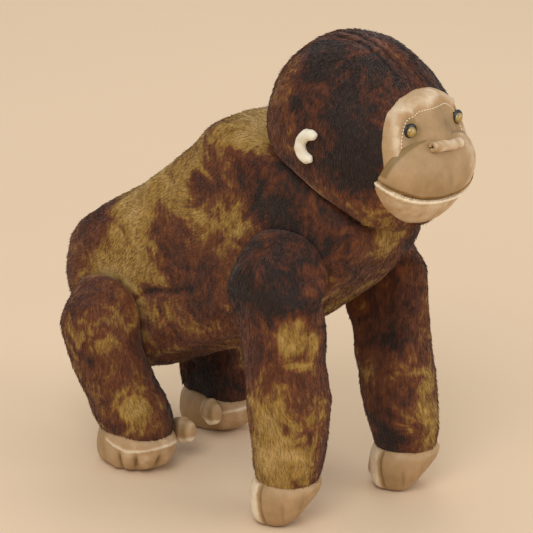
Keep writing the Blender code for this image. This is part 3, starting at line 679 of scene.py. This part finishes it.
def make_pad(name, nodes, body, joints, marks, side, way, moves, folds, seed, bare=None, reshape=None):
    """Cloth, stuffing, folds, shade and pile of one plush body."""
    stuffing = bpy.context.scene.ape_stuffing
    pad = cloth_of(name, nodes, stuffing.voxel, 3)
    points, normals = points_of(pad.data), normals_of(pad.data)
    # drawn in by about what the stuffing presses out again
    points = points - normals * (0.5 * MM + 0.1 * MM * joint_gap(points, joints))[:, None]
    points = pull(points, moves)
    if reshape is not None:
        points = reshape(points)
    set_points(pad.data, points)
    stuff(pad, 0.4 * MM + stuffing.swell * 0.62 * joint_gap(points, joints))
    subdivide(pad)
    points, normals = points_of(pad.data), normals_of(pad.data)
    free = joint_gap(points, joints)
    # lumps of stuffing 24 mm and 9 mm across
    lumps = ripple(points, 0.024, seed) * 0.9 * MM + ripple(points, 0.009, seed + 1) * 0.45 * MM
    for path, width, depth in folds:
        lumps -= fold_depth(points, path, width) * depth * MM * (0.75 + 0.5 * ripple(points, 0.012, seed + 3))
    points = points + normals * (lumps * free)[:, None]
    set_points(pad.data, points)
    shade = shade_of(points, marks, side)
    if body == "head":
        points, shade = crown_seams(points, normals, free, shade)
        set_points(pad.data, points)
    # painted shade: the pile is darkened along each fold's crease
    for path, width, depth in folds:
        shade = shade - 0.28 * fold_depth(points, path, width * 0.6) * (depth > 0)
    set_value(pad.data, "shade", shade)
    set_value(pad.data, "cover", np.clip(free, 0, 1) * (1 if bare is None else bare(points)))
    comb(pad.data, way, 0.9, seed + 5)
    dress(pad, finish_of("mohair"))
    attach(pad, body)
    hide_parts(*nodes)
    grow_pile(pad, body, seed)


class ApeTorso(bpy.types.Operator):
    """Stuffs the body and covers it with pile"""
    bl_idname = "ape.torso"
    bl_label = "Body"

    def execute(self, context):
        nodes = ["torso_skin_left", "torso_skin_right", "belly_gusset", "torso_stuffing"]
        moves = [((-152, side * 32, 118), 22, (-5, side * 2, 0)) for side in (-1, 1)]
        folds = [
            ([(-112, 112), (-88, 118), (-70, 128), (-50, 132), (-30, 138)], 3.0, 2.4),
            ([(-62, 118), (-50, 104), (-46, 96)], 2.2, 1.8),
            ([(-34, 128), (-26, 116), (-20, 104)], 2.2, 1.6),
            ([(18, 196), (30, 210), (36, 226)], 3.0, 1.5),
        ]
        make_pad("torso_pad", nodes, "torso",
                 ["neck", "shoulder_left", "shoulder_right", "hip_left", "hip_right"],
                 TORSO_SHADES, 0, (-0.8, 0, -0.75), moves, folds, 11)
        return {"FINISHED"}


class ApeHead(bpy.types.Operator):
    """Stuffs the head and covers it with pile"""
    bl_idname = "ape.head"
    bl_label = "Head"

    def execute(self, context):
        nodes = ["head_side_left", "head_side_right", "head_gusset", "head_stuffing"]
        ahead = np.array(NECK_FORWARD)
        moves = [(np.array(face_place(-8 * MM, 77 * MM, 42 * MM)) / MM, 28.0, ahead * 7.0)]

        def bare(points):
            y, up, ahead = face_coordinates(points)
            inside = face_outline(y, up) < 0.98
            muzzle = np.hypot(y / (41 * MM), (up - 40 * MM) / (29 * MM)) < 1
            return 1.0 - ((inside | muzzle) & (ahead > 25 * MM))

        make_pad("head_pad", nodes, "head", ["neck"], HEAD_SHADES, 0, (-0.25, 0, -1), moves, [], 23, bare)
        return {"FINISHED"}


class ApeLimbs(bpy.types.Operator):
    """Stuffs the arms and legs and covers them with pile"""
    bl_idname = "ape.limbs"
    bl_label = "Arms and legs"

    def execute(self, context):
        for seed, (side_name, side) in enumerate(SIDES):
            for limb, joint, marks in (("arm", "shoulder_", ARM_SHADES), ("leg", "hip_", LEG_SHADES)):
                name = limb + "_" + side_name
                nodes = [name + part for part in ("_outer_skin", "_inner_skin", "_stuffing")]
                centre = JOINTS[joint + side_name]["pos_m"]

                def taper(points):
                    """Thins the limb's top outside its disc, and lowers its end over the felt."""
                    rise = smooth_step(np.linalg.norm((points - centre)[:, (0, 2)], axis=1), 16 * MM, 44 * MM)
                    rise *= smooth_step(points[:, 2], centre[2] - 4 * MM, centre[2] + 16 * MM)
                    inner = 30 * MM
                    out = np.abs(points[:, 1]) - inner
                    points = points.copy()
                    points[:, 1] = np.sign(points[:, 1]) * (inner + out * (1 - 0.55 * rise))
                    low = smooth_step(42 * MM - points[:, 2], 0, 12 * MM)
                    points[:, 2] -= 2.5 * MM * low
                    return points

                make_pad(name + "_pad", nodes, name, [joint + side_name], marks, side,
                         (0.12, 0, -1), [], [], 31 + 10 * seed + (5 if limb == "leg" else 0), reshape=taper)
        return {"FINISHED"}


# ---- Felt hands and feet ------------------------------------------------------------------------
def felt_pad(name, node, body, voxel, finish, shape=None):
    """A felt piece over a CAD node, with its own shaping."""
    pad = cloth_of(name, [node], voxel, 2)
    subdivide(pad)
    points = points_of(pad.data)
    tone = np.zeros(len(points))
    if shape is not None:
        points, tone = shape(points, normals_of(pad.data))
        set_points(pad.data, points)
    set_value(pad.data, "tone", tone)
    dress(pad, finish_of(finish))
    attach(pad, body)
    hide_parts(node)


def middle_of(node):
    """The middle of a CAD node's box and its height."""
    low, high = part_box(node)
    return (np.array(low) + np.array(high)) / 2, high.z - low.z


class ApeHandsFeet(bpy.types.Operator):
    """Shapes the felt hands and feet"""
    bl_idname = "ape.hands_feet"
    bl_label = "Hands and feet"

    def execute(self, context):
        for side_name, side in SIDES:
            self.hand(side_name)
            self.foot(side_name, side)
        return {"FINISHED"}

    def hand(self, side_name):
        middle, tall = middle_of("hand_" + side_name)

        def fingers(points, normals):
            """Finger lines, a raised strip round the rear, and a front edge lifted off the floor."""
            rel = points - middle
            turn = np.arctan2(rel[:, 1], rel[:, 0])
            rim = smooth_step(-normals[:, 2], 0.95, 0.5) * smooth_step(normals[:, 2], 0.95, 0.5)
            strip = smooth_step(0.55 - np.abs(turn + 2.3), -0.06, 0.06) * rim
            groove = np.exp(-((np.abs(turn + 2.3) - 0.6) / 0.07) ** 2) * rim
            low_half = smooth_step(0.75 * tall - points[:, 2], 0, 0.3 * tall)
            for angle in (-0.95, -0.35):  # the lines between the fingers
                groove = groove + 0.5 * np.exp(-((turn - angle) / 0.05) ** 2) * rim * low_half
            depth = 1.0 * strip - 1.0 * groove + 0.4 * ripple(points, 0.012, 3)
            moved = points + normals * (depth * MM)[:, None]
            wide = 1.06 + 0.05 * smooth_step(moved[:, 2], 0.3 * tall, 0.9 * tall)
            moved[:, :2] = middle[:2] + (moved[:, :2] - middle[:2]) * wide[:, None]
            ahead = (moved - middle) @ np.array((0.74, 0.67, 0))
            lift = 0.45 * smooth_step(ahead, -4 * MM, 24 * MM)
            top = tall + 5 * MM
            moved[:, 2] = moved[:, 2] * (top / tall)
            moved[:, 2] = top - (top - moved[:, 2]) * (1 - lift)
            # painted shade in the grooves round the strip and between the fingers
            return moved, 0.22 + 0.42 * strip - 0.4 * groove + 0.12 * ripple(points, 0.014, 5)

        hand, thumb, arm = ["%s_%s" % (part, side_name) for part in ("hand", "thumb", "arm")]
        felt_pad(hand + "_felt", hand, arm, 2.2 * MM, "tan_felt", fingers)
        felt_pad(thumb + "_felt", thumb, arm, 1.2 * MM, "worn_felt")

    def foot(self, side_name, side):
        middle, tall = middle_of("foot_" + side_name)

        def toes(points, normals):
            """Rounded toes with a piped seam over them."""
            rel = points - middle
            turn = np.arctan2(rel[:, 1] * -side, rel[:, 0])
            rim = smooth_step(-normals[:, 2], 0.97, 0.6)
            toe = rim * smooth_step(0.66 * tall - points[:, 2], 0, 0.3 * tall)
            groove = np.zeros(len(points))
            for angle in (-1.35, -0.80, -0.22):  # the lines between the toes
                groove += np.exp(-((turn - angle) / 0.055) ** 2)
            front = smooth_step(1.5 - np.abs(turn + 0.6), 0, 0.25)
            height = 0.70 * tall + 1.8 * MM * np.cos(3 * turn)
            piping = np.exp(-((points[:, 2] - height) / (0.9 * MM)) ** 2) * front
            lobe = 0.5 + 0.5 * np.cos((turn + 0.52) * 11.2)
            depth = 1.6 * lobe * front * toe - 1.8 * groove * toe * front + 0.6 * piping
            moved = points + normals * (depth * MM + ripple(points, 0.012, 7) * 0.3 * MM)[:, None]
            moved[:, 2] = np.maximum(moved[:, 2] * (1 + 4 * MM / tall), 0)
            # painted shade in the grooves between the toes
            return moved, 0.2 * front + 0.35 * piping - 0.5 * groove * toe * front + 0.12

        def shell(points, normals):
            """A ribbed toe beside the ankle, larger than the solid."""
            centre = points.mean(axis=0)
            moved = centre + (points - centre) * (1.3, 1.0, 1.6) + np.array((1.5, 2.0 * -side, 6.0)) * MM
            rib = np.cos((points[:, 0] - centre[0]) / MM * 1.1)
            under = smooth_step(centre[2] - points[:, 2], 1 * MM, 4 * MM)
            return moved + normals * (0.35 * rib * MM)[:, None], 0.15 + 0.7 * under + 0.15 * rib

        foot, toe, leg = ["%s_%s" % (part, side_name) for part in ("foot", "big_toe", "leg")]
        felt_pad(foot + "_felt", foot, leg, 2.0 * MM, "tan_felt", toes)
        felt_pad(toe + "_felt", toe, leg, 1.2 * MM, "tan_felt", shell)


# ---- Face ---------------------------------------------------------------------------------------
# Places are from the neck, up the head. Sizes are in mm: (right, left) of the middle, (above, below) a line.
EYE_UP, EYE_OUT = 72 * MM, (22.5, 25.0)
FACE_BASE, FACE_HALF, FACE_TALL = 50 * MM, (40.5, 33.5), (38.5, 13.0)
RIDGE_HALF, RIDGE_TALL, RIDGE_POWER = (33.5, 28.0), 33.5, 2.7
MUZZLE_UP, MUZZLE_HALF, MUZZLE_TALL = 44 * MM, (43.5, 39.5), (27, 37)
WELD = 0.01 * MM


def face_coordinates(points):
    """Each point's distances to the head's left, up and ahead of the neck."""
    rel = points - np.array(NECK)
    return rel[:, 1], rel @ np.array(NECK_UP), rel @ np.array(NECK_FORWARD)


def face_outline(y, up):
    """How far out a place is on the brow felt, 1 at its edge."""
    half = np.where(y < 0, *FACE_HALF) * MM
    tall = np.where(up > FACE_BASE, *FACE_TALL) * MM
    return rounded(y / half, (up - FACE_BASE) / tall, 2.2)


def face_place(y, up, ahead):
    """A point given in the head's own lines: to its left, up and ahead of the neck, in metres."""
    return NECK + LEFT * y + NECK_UP * up + NECK_FORWARD * ahead


def surface_under(tree, y, up):
    """Where a line from 200 mm ahead of the neck meets a surface, and the direction out of it."""
    return tree.ray_cast(face_place(y, up, 0.2), -NECK_FORWARD)[:2]


def tree_of(obj):
    points = points_of(obj.data)
    return BVHTree.FromPolygons([tuple(p) for p in points], [tuple(f.vertices) for f in obj.data.polygons])


class ApeFace(bpy.types.Operator):
    """Lays the brow felt, its padded ridge and its stitches on the head"""
    bl_idname = "ape.face"
    bl_label = "Brow felt"

    def execute(self, context):
        settings = context.scene.ape_face
        head = tree_of(bpy.data.objects["head_pad"])
        rings, around, probe = 26, 120, 30 * MM
        points, tones = [], []
        for ring in range(rings + 1):
            share = ring / rings
            edge = 1 - max(0.0, (share - 0.93) / 0.07)
            for turn in turns(around):
                across, along = math.cos(turn) * probe, math.sin(turn) * probe
                far = float(face_outline(across, FACE_BASE + along))
                y, up = across * share / far, FACE_BASE + along * share / far
                hit, normal = surface_under(head, y, up)
                if hit is None:
                    hit, normal = face_place(y, up, 0.03), NECK_FORWARD
                height, tone = self.relief(settings, y, up)
                points.append(hit + normal * (height * edge ** 0.5 - 1.5 * MM * (1 - edge)))
                tones.append(tone)
        back = len(points)
        points += [p - NECK_FORWARD * 1.2 * MM for p in points[-around:]]
        points.append(sum(points[back:], Vector()) / around)
        tones += [0.0] * (around + 1)
        faces = ring_faces(rings + 2, around) + tip_faces(back, around, len(points) - 1)
        patch = from_arrays("brow_felt", points, faces, finish_of("tan_felt"))
        set_value(patch.data, "tone", tones)
        turn_out(patch.data, WELD)
        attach(patch, "head")
        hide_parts("brow_patch")
        self.stitches(settings, tree_of(patch))
        return {"FINISHED"}

    def relief(self, settings, y, up):
        """Height of the felt over the head and its tone, with painted shade in the hollows and painted
        highlight on the raised ridge and lids.
        """
        wide, tall = y / (RIDGE_HALF[y >= 0] * MM), (up - FACE_BASE) / (RIDGE_TALL * MM)
        round_ridge = rounded(wide, max(tall, 0), RIDGE_POWER) - 1
        ridge = math.exp(-(round_ridge / 0.075) ** 2) if tall > -0.1 else 0
        within = 1 / (1 + math.exp(round_ridge / 0.04))
        height = settings.felt + 1.4 * MM + settings.ridge * ridge - 1.0 * MM * within
        # painted shade inside the ridge; the raised ridge lighter, painted highlight along with wear
        tone = 0.30 - 0.18 * within + 0.30 * ridge
        for side, out in zip((-1, 1), EYE_OUT):
            near = math.hypot(y - side * out * MM, up - EYE_UP) / (7.5 * MM)
            height -= 1.0 * MM * math.exp(-near * near)
            above = 0.5 + 0.5 * math.tanh((up - EYE_UP) / (3 * MM))
            lid = math.exp(-((near - 0.98) / 0.17) ** 2) * above
            height += 1.5 * MM * lid
            # the raised lid lighter, painted highlight along with wear; painted shade in the eye's socket
            tone += 0.15 * lid - 0.35 * math.exp(-(near / 0.85) ** 4)
        bridge = math.exp(-((y / (9 * MM)) ** 2 + ((up - 70 * MM) / (10 * MM)) ** 2))
        dimple = math.exp(-(((y - 4 * MM) / (4 * MM)) ** 2 + ((up - 74 * MM) / (3 * MM)) ** 2))
        crease = math.exp(-((y - 9 * MM - 0.25 * (up - 72 * MM)) / (1.0 * MM)) ** 2) * within
        height += 3.0 * MM * bridge - 1.6 * MM * dimple - 0.8 * MM * crease * bridge
        # painted shade in the dimple and the crease
        return max(height, 0.8 * MM), tone - 0.3 * dimple - 0.35 * crease * bridge

    def stitches(self, settings, surface):
        path = []
        for k in range(61):
            c, s = math.cos(math.pi * k / 60), math.sin(math.pi * k / 60)
            size = MM / rounded(c, s, RIDGE_POWER)
            hit, normal = surface_under(surface, RIDGE_HALF[c >= 0] * size * c,
                                        FACE_BASE + RIDGE_TALL * size * s)
            if hit is not None:
                path.append(hit + normal * 0.15 * MM)
        made = sew("brow_stitches", path, "head", settings.stitch * 0.65, 0.42 * MM, settings.stitch,
                   "thread")


class ApeMuzzle(bpy.types.Operator):
    """Pads the muzzle and shapes its mouth, lip and nose"""
    bl_idname = "ape.muzzle"
    bl_label = "Muzzle and nose"

    def execute(self, context):
        rings, around = 60, 150
        points = []
        for ring in range(rings + 1):
            share = math.sin(math.pi / 2 * ring / rings) ** 0.9
            points += [self.place(math.cos(turn), math.sin(turn), share) for turn in turns(around)]
        points.append(face_place(0, 42 * MM, 34 * MM))
        faces = ring_faces(rings + 1, around) + tip_faces(rings * around, around, len(points) - 1)
        muzzle = from_arrays("muzzle_felt", points, faces, finish_of("tan_felt"))
        turn_out(muzzle.data, WELD)
        points, tone = self.lips(points_of(muzzle.data), normals_of(muzzle.data))
        set_points(muzzle.data, points)
        set_value(muzzle.data, "tone", tone)
        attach(muzzle, "head")
        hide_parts("muzzle_upper", "chin_lip", "muzzle_wadding")
        self.thread(context.scene.ape_face, tree_of(muzzle))
        self.nose()
        return {"FINISHED"}

    def place(self, c, s, share):
        """A point of the bare muzzle: a direction from its middle and how far out."""
        power = 2.3 if s > 0 else 1.9
        reach = share * MM / rounded(c / MUZZLE_HALF[c > 0], s / MUZZLE_TALL[s <= 0], power)
        # how far ahead of the neck the rim lies, in mm, and how squarely it turns to the front at 74 mm
        top, side, bottom = max(s, 0) ** 2, c * c, max(-s, 0) ** 2
        foot = 52 * top + 47 * side + 44 * bottom
        round_off = 1.28 * top + 2.3 * side + 2.9 * bottom
        front = (1 - share ** round_off) ** (1 / round_off) if share < 1 else 0
        return face_place(c * reach, MUZZLE_UP + s * reach, (foot + (74 - foot) * front) * MM)

    def mouth(self, y):
        """Height of the mouth line."""
        return 38.6 * MM + 4.0 * MM * (np.abs(y) / (43 * MM)) ** 2

    def lips(self, points, normals):
        y, up, ahead = face_coordinates(points)
        above = up - self.mouth(y) - 0.3 * MM * ripple(points, 0.003, 4)
        open_side = smooth_step(ahead, 44 * MM, 48 * MM)
        groove = np.exp(-(above / (0.8 * MM)) ** 2) * open_side
        edge = np.exp(-((above - 1.5 * MM) / (0.9 * MM)) ** 2) * open_side
        rim = np.exp(-((above + 2.4 * MM) / (1.6 * MM)) ** 2) * open_side
        crease = np.exp(-((above + 5.4 * MM) / (1.3 * MM)) ** 2) * open_side
        pucker = ripple(points, 0.0022, 8)
        height = 1.7 * rim * (1 + 0.35 * pucker) - 2.0 * groove + 0.5 * edge - 0.35 * crease
        height += 0.5 * ripple(points, 0.02, 2) + 0.15 * ripple(points, 0.006, 3)
        # painted shade in the mouth's groove; the raised lip rim lighter, painted highlight along with wear
        tone = 0.16 + 1.1 * rim * (0.8 + 0.4 * pucker) - 0.9 * groove + 0.28 * (above < -4 * MM)
        # painted light: the left side of the muzzle above the mouth is lighter, as if lit from that side
        tone = tone + 0.26 * smooth_step(y, 12 * MM, 20 * MM) * (above > 0)
        out = rounded(y / (np.where(y < 0, *MUZZLE_HALF) * MM), (up - MUZZLE_UP) / (MUZZLE_TALL[0] * MM), 2.3)
        # painted shade along the muzzle's top edge, where it meets the brow felt
        seam = smooth_step(out, 0.985, 1.0) * (up > 46 * MM)
        return points + normals * (height * MM)[:, None], tone - 0.7 * seam

    def thread(self, settings, surface):
        """Sews the lip, and frays the edge of the felt above it."""
        rows = (("lip_stitches", 1.0, 0.1, 1.5, 0.35, settings.stitch * 0.9, "thread"),
                ("lip_fray", 0.5, 0.25, 1.3, 0.42, 1.0 * MM, "fray"))
        for name, step, lift, length, radius, pitch, finish in rows:
            path = []
            for k in range(int(80 / step) + 1):
                y = (-40 + k * step) * MM
                above = 1.7 + 0.3 * math.sin(k * 2.4) if finish == "fray" else -1.0
                hit, normal = surface_under(surface, y, float(self.mouth(y)) + above * MM)
                if hit is not None:
                    path.append(hit + normal * lift * MM)
            made = sew(name, path, "head", length * MM, radius * MM, pitch, finish)

    def nose(self):
        """The nose: a strip of felt folded over, its cut edges down."""
        middle, half = face_place(-1.5 * MM, 67.5 * MM, 58.5 * MM), 15.0 * MM
        profile = [(3.6 * MM * math.cos(a), 3.5 * MM * math.sin(a))
                   for a in np.radians(np.linspace(-100, 220, 25))]
        loop = profile + [(a * 0.3, b * 0.3) for a, b in profile[::-1]]
        points, rows, count = [], 31, len(loop)
        for n in range(rows):
            y = half * (2 * n / (rows - 1) - 1)
            droop = 0.5 * MM * (y / half) ** 2 - 0.2 * MM * math.sin(y * 420)
            for a, b in loop:
                ahead, up = a - droop, b + 0.4 * droop - 0.12 * y
                points.append(middle + LEFT * y + NECK_FORWARD * ahead + NECK_UP * up)
        faces = ring_faces(rows, count)
        for end in (0, (rows - 1) * count):
            for k in range(len(profile) - 1):
                faces.append(tuple(end + place for place in (k, k + 1, count - 2 - k, count - 1 - k)))
        nose = from_arrays("nose_felt", points, faces, finish_of("tan_felt"))
        set_value(nose.data, "tone", 0.42 + 0.3 * ripple(points_of(nose.data), 0.006, 6))
        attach(nose, "head")
        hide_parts("nose_strip")


class ApeEyes(bpy.types.Operator):
    """Sets the glass eyes on their black backs"""
    bl_idname = "ape.eyes"
    bl_label = "Eyes"

    def execute(self, context):
        settings = context.scene.ape_face
        felt_tree = tree_of(bpy.data.objects["brow_felt"])
        for side_name, side in SIDES:
            seat, normal = surface_under(felt_tree, EYE_OUT[side > 0] * side * MM, EYE_UP)
            out = (normal + NECK_FORWARD * 0.6).normalized()
            back = self.dome("eye_%s_back" % side_name, seat - out * 0.2 * MM, out, 5.3 * MM, 1.6 * MM,
                             "black_glass")
            self.dome("eye_%s_amber" % side_name, seat + out * 0.6 * MM, out, settings.eye, 2.6 * MM,
                      "amber_glass")
            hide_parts("eye_" + side_name)
        return {"FINISHED"}

    def dome(self, name, place, out, radius, height, finish):
        """A low glass dome with a rounded foot, closed behind."""
        profile = [(0, -0.4), (0.7, -0.38), (0.95, -0.25), (1.0, 0.0)]
        profile += [(math.cos(a), math.sin(a)) for a in np.linspace(0.15, math.pi / 2, 10)[:-1]] + [(0, 1)]
        turn = out.to_track_quat("Z", "Y").to_matrix()
        sides, rows = 32, len(profile) - 2
        points = [place + turn @ Vector((radius * share * math.cos(a), radius * share * math.sin(a),
                                         height * up)) for share, up in profile[1:-1] for a in turns(sides)]
        points += [place + turn @ Vector((0, 0, height * up)) for _, up in (profile[0], profile[-1])]
        faces = (ring_faces(rows, sides) + tip_faces(0, sides, rows * sides)
                 + tip_faces((rows - 1) * sides, sides, rows * sides + 1))
        made = from_arrays(name, points, faces, finish_of(finish))
        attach(made, "head")
        return made


class ApeEars(bpy.types.Operator):
    """Rolls the felt ears"""
    bl_idname = "ape.ears"
    bl_label = "Ears"

    def execute(self, context):
        for side_name, _ in SIDES:
            ear = cloth_of("ear_%s_felt" % side_name, ["ear_" + side_name], 0.8 * MM, 2)
            subdivide(ear)
            points, normals = points_of(ear.data), normals_of(ear.data)
            wave = ripple(points, 0.004, 5) * 0.5 * MM + 0.9 * MM
            points = points + normals * wave[:, None]
            middle = points.mean(axis=0)
            # a little larger and further forward than the solid
            larger = middle + (points - middle) * (1.2, 1.0, 1.08) + np.array((5, 0, 0)) * MM
            set_points(ear.data, larger)
            set_value(ear.data, "tone", 0.3 + 0.4 * ripple(points, 0.005, 9))
            dress(ear, finish_of("cream_felt"))
            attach(ear, "head")
            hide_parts("ear_" + side_name)
        return {"FINISHED"}


class ApeJoints(bpy.types.Operator):
    """Gives the discs, washers and pins their finishes"""
    bl_idname = "ape.joints"
    bl_label = "Joints"

    def execute(self, context):
        for name, obj in frame["nodes"].items():
            if name.endswith("_disc"):
                finish = finish_of("board")
            elif name.endswith(("_washer", "_pin")) or name.startswith("eye_wire"):
                finish = finish_of("wire")
            else:
                continue
            for slot in obj.material_slots:
                slot.material = finish
        return {"FINISHED"}


# ---- Stage --------------------------------------------------------------------------------------
class ApeStage(bpy.types.Operator):
    """Sets the pale ground, the soft lights and the camera"""
    bl_idname = "ape.stage"
    bl_label = "Stage"

    def execute(self, context):
        scene = context.scene
        self.ground(scene.ape_stage)
        self.lights(scene)
        self.camera(scene, scene.ape_stage)
        return {"FINISHED"}

    def ground(self, stage):
        size = 12.0
        corners = [(-size, -size, 0), (size, -size, 0), (size, size, 0), (-size, size, 0)]
        # coated paper: pale and matt, its tone drifting over 330 mm
        paper = hard("pale_paper", 3.0, [(0.2, "#DFC6A8"), (0.8, stage.ground)],
                     {"Roughness": 0.95, "Specular IOR Level": 0.1})
        from_arrays("ground", corners, [(0, 1, 2, 3)], paper)

    def lights(self, scene):
        scene.world = bpy.data.worlds.new("pale_room")
        scene.world.use_nodes = True
        feed(scene.world.node_tree.nodes["Background"], {"Color": (1.0, 0.985, 0.96, 1.0), "Strength": 0.72})
        lamps = (("key", (0.9, -1.7, 1.9), 26, 1.4), ("fill", (2.0, 0.6, 1.0), 9, 1.2),
                 ("rim", (-1.2, 1.4, 1.8), 8, 1.0))
        for name, where, power, size in lamps:
            light = bpy.data.lights.new(name, "AREA")
            light.energy = power
            light.size = size
            lamp = bpy.data.objects.new(name, light)
            scene.collection.objects.link(lamp)
            lamp.location = where
            lamp.rotation_euler = (Vector((0, 0, 0.15)) - lamp.location).to_track_quat("-Z", "Y").to_euler()

    def camera(self, scene, stage):
        data = bpy.data.cameras.new("camera")
        data.lens = stage.lens
        data.clip_end = 100
        camera = bpy.data.objects.new("camera", data)
        scene.collection.objects.link(camera)
        a, e = math.radians(stage.azimuth), math.radians(stage.elevation)
        back = Vector((math.sin(a) * math.cos(e), -math.cos(a) * math.cos(e), math.sin(e)))
        camera.location = AIM + back * stage.distance
        camera.rotation_euler = (-back).to_track_quat("-Z", "Y").to_euler()
        scene.camera = camera
        scene.view_settings.view_transform = "Standard"


class ApePanel(bpy.types.Panel):
    """Lists the ape's sizes, colours and steps"""
    bl_idname = "VIEW3D_PT_ape"
    bl_label = "Jointed mohair ape"
    bl_space_type = "VIEW_3D"
    bl_region_type = "UI"
    bl_category = "Ape"

    def draw(self, context):
        for settings in SETTINGS:
            group, box = getattr(context.scene, settings), self.layout.box()
            for name in group.bl_rna.properties.keys():
                if name not in ("rna_type", "name"):
                    box.prop(group, name)
        for step in STEPS:
            self.layout.operator(step.bl_idname)


SETTINGS = {"ape_pile": ApePileSettings, "ape_stuffing": ApeStuffingSettings, "ape_face": ApeFaceSettings,
            "ape_stage": ApeStageSettings}
STEPS = (ApeStage, ApeTorso, ApeHead, ApeLimbs, ApeHandsFeet, ApeFace, ApeMuzzle, ApeEyes, ApeEars, ApeJoints)


def register():
    for kind in (*SETTINGS.values(), *STEPS, ApePanel):
        bpy.utils.register_class(kind)
    for name, kind in SETTINGS.items():
        setattr(bpy.types.Scene, name, bpy.props.PointerProperty(type=kind))


def unregister():
    for name in SETTINGS:
        delattr(bpy.types.Scene, name)
    for kind in (ApePanel, *reversed(STEPS), *reversed(SETTINGS.values())):
        bpy.utils.unregister_class(kind)


def main():
    register()
    for step in STEPS:
        space, action = step.bl_idname.split(".")
        getattr(getattr(bpy.ops, space), action)()


if __name__ == "__main__":
    main()
